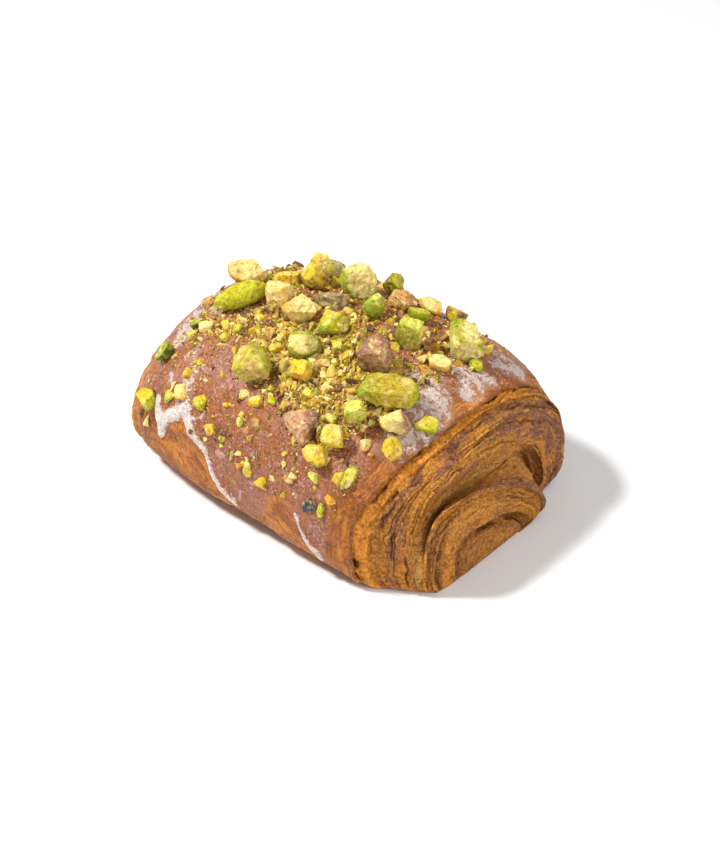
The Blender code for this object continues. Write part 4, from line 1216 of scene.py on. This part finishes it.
def strewTree():
    tree = bpy.data.node_groups.new("strewn crumbs", "GeometryNodeTree")
    for name, kind, way in (
            ("Geometry", "Geometry", "INPUT"), ("Kinds", "Collection", "INPUT"), ("Density", "Float", "INPUT"),
            ("Gap", "Float", "INPUT"), ("Least Size", "Float", "INPUT"), ("Greatest Size", "Float", "INPUT"),
            ("Seed", "Int", "INPUT"), ("Material", "Material", "INPUT"), ("Geometry", "Geometry", "OUTPUT")):
        tree.interface.new_socket(name, in_out=way, socket_type=f"NodeSocket{kind}")
    graph = Graph(tree)
    given = tree.nodes.new("NodeGroupInput").outputs
    seed = {"Seed": given["Seed"]}
    density = graph.node("GeometryNodeInputNamedAttribute", {"data_type": "FLOAT"}, {"Name": "density"})
    points = graph.node("GeometryNodeDistributePointsOnFaces", {"distribute_method": "POISSON"}, {
        "Mesh": given["Geometry"], "Distance Min": given["Gap"], "Density Max": given["Density"],
        "Density Factor": density, **seed})
    kinds = graph.node("GeometryNodeCollectionInfo", {}, {
        "Collection": given["Kinds"], "Separate Children": True, "Reset Children": True})
    turn = graph.node("FunctionNodeRandomValue", {"data_type": "FLOAT_VECTOR"}, {
        0: (0, 0, 0), 1: (2 * pi, 2 * pi, 2 * pi), **seed})
    size = graph.node("FunctionNodeRandomValue", {"data_type": "FLOAT"}, {
        2: given["Least Size"], 3: given["Greatest Size"], **seed}, output=1)
    placed = graph.node("GeometryNodeInstanceOnPoints", {}, {
        "Points": points, "Instance": kinds, "Rotation": turn, "Scale": size, "Pick Instance": True})
    tone = graph.node("FunctionNodeRandomValue", {"data_type": "FLOAT"}, {
        2: 0.0, 3: 1.0, "Seed": graph.math("ADD", given["Seed"], 11)}, output=1)
    stored = graph.node("GeometryNodeStoreNamedAttribute", {"data_type": "FLOAT", "domain": "INSTANCE"}, {
        "Geometry": placed, "Value": tone, "Name": "tone"})
    real = graph.node("GeometryNodeRealizeInstances", {}, {"Geometry": stored})
    finished = graph.node("GeometryNodeSetMaterial", {}, {"Geometry": real, "Material": given["Material"]})
    graph.feed(tree.nodes.new("NodeGroupOutput").inputs["Geometry"], finished)
    return tree


def makeCrumbs(crustPiece, material):
    kinds = crumbKinds(crumbs["kinds"])
    tree = strewTree()
    sockets = {item.name: item.identifier for item in tree.interface.items_tree if item.in_out == "INPUT"}
    for layer in crumbs["layers"]:
        ground = linked(layer["name"], crustPiece.data.copy())
        strew = ground.modifiers.new("strew", "NODES")
        strew.node_group = tree
        values = {"Kinds": kinds, "Density": layer["density"] * 1e4, "Gap": layer["gap"] * mm,
                  "Least Size": layer["size"][0], "Greatest Size": layer["size"][1], "Seed": layer["seed"],
                  "Material": material}
        for name, value in values.items():
            strew[sockets[name]] = value
        evaluated = ground.evaluated_get(bpy.context.evaluated_depsgraph_get())
        mesh = bpy.data.meshes.new_from_object(evaluated)
        ground.modifiers.remove(strew)
        bpy.data.objects.remove(ground)
        piece = newObject(layer["name"], mesh, material)
        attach(piece, "root")
        print(layer["name"], len(mesh.polygons), "faces")
    for kind in list(kinds.objects):
        bpy.data.objects.remove(kind)
    bpy.data.collections.remove(kinds)


def crumbMaterial():
    graph = Graph(bpy.data.materials.new("crumbs"))
    place = graph.place()
    mottle = graph.noise(place, 700, 2, 0.6)
    fine = graph.noise(place, 2000, 2, 0.6)
    ramp = graph.node("ShaderNodeValToRGB", {}, {"Fac": graph.attribute("tone") + (mottle - 0.5) * 0.22})
    stops = ramp.socket.node.color_ramp.elements
    for position, _ in crumbs["tones"][1:-1]:
        stops.new(position)
    for stop, (position, shade) in zip(stops, crumbs["tones"]):
        stop.position = position
        stop.color = rgb(*shade)
    tone = graph.covered(
        ramp,
        (graph.attribute("shade"), 0.35, 0.05, 0.6, (110, 74, 26)),
        (fine, 0.55, 0.66, 0.36, (252, 236, 170)),
        (fine, 0.45, 0.35, 0.5, (110, 74, 26)),
    )
    return graph.finish(
        Base_Color=tone, Roughness=0.55, Normal=graph.bump(fine, 0.0003, 0.9), Specular_IOR_Level=0.4)


print("materials")
crustLook, layerLook, nutLook, crumbLook = crustMaterial(), layerMaterial(), nutMaterial(), crumbMaterial()
print("crust")
crustPiece = makeCrust(crustLook)
print("rolled ends")
endPieces = [makeEnd("right", layerLook), makeEnd("left", layerLook)]
print("nuts")
makeNuts(nutLook)
bitPiece = makeBits(nutLook)
for piece in [crustPiece, *endPieces, bitPiece]:
    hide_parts("pastry")
    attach(piece, "root")
print("crumbs")
makeCrumbs(crustPiece, crumbLook)

# The floor, the light and the camera.
studio = {
    "floor": 3.0,  # metres across
    "floorTone": (0.86, 0.86, 0.86, 1),
    "world": 0.35,
    "lamps": {  # which way (right, up, towards the viewer), metres away, metres across, power in watts
        "key": ((-0.9, 1.0, 0.8), 0.9, 0.12, 9.262),
        "top": ((0.55, 1.1, 0.55), 1.0, 0.4, 0.975),
        "fill": ((0.75, 0.1, 1.0), 1.0, 0.4, 4.388),
    },
    "aim": (3.17, 19),  # mm to the right of the roll's middle, and up
    "away": 617.5,  # mm from the aim to the camera
    "lens": 90.2,
}
print("studio")
floorMesh = bpy.data.meshes.new("floor")
reach = studio["floor"] / 2
floorMesh.from_pydata([(-reach, -reach, 0), (reach, -reach, 0), (reach, reach, 0), (-reach, reach, 0)], [],
                      [(0, 1, 2, 3)])
floorLook = Graph(bpy.data.materials.new("pale floor")).finish(Base_Color=studio["floorTone"], Roughness=0.7)
floor = newObject("floor", floorMesh, floorLook)

world = bpy.data.worlds.new("soft white")
world.use_nodes = True
world.node_tree.nodes["Background"].inputs["Color"].default_value = (1, 1, 1, 1)
world.node_tree.nodes["Background"].inputs["Strength"].default_value = studio["world"]
bpy.context.scene.world = world

aside, up = studio["aim"]
middle = Vector((-roll["centre"][0], -roll["centre"][1], up))
for name, ((right, top, near), away, size, power) in studio["lamps"].items():
    direction = Vector(towardsRight * right + towardsTop * top + towardsViewer * near).normalized()
    lamp = bpy.data.lights.new(name, "AREA")
    lamp.size = size
    lamp.energy = power
    made = linked(name, lamp)
    made.location = middle * mm + direction * away
    made.rotation_euler = direction.to_track_quat("Z", "Y").to_euler()

lens = bpy.data.cameras.new("camera")
lens.lens = studio["lens"]
lens.clip_start = 0.01
camera = linked("camera", lens)
camera.location = (middle + Vector(towardsRight) * aside + Vector(towardsViewer) * studio["away"]) * mm
camera.rotation_euler = Vector(towardsViewer).to_track_quat("Z", "Y").to_euler()
bpy.context.scene.camera = camera
bpy.context.scene.view_settings.view_transform = "Standard"
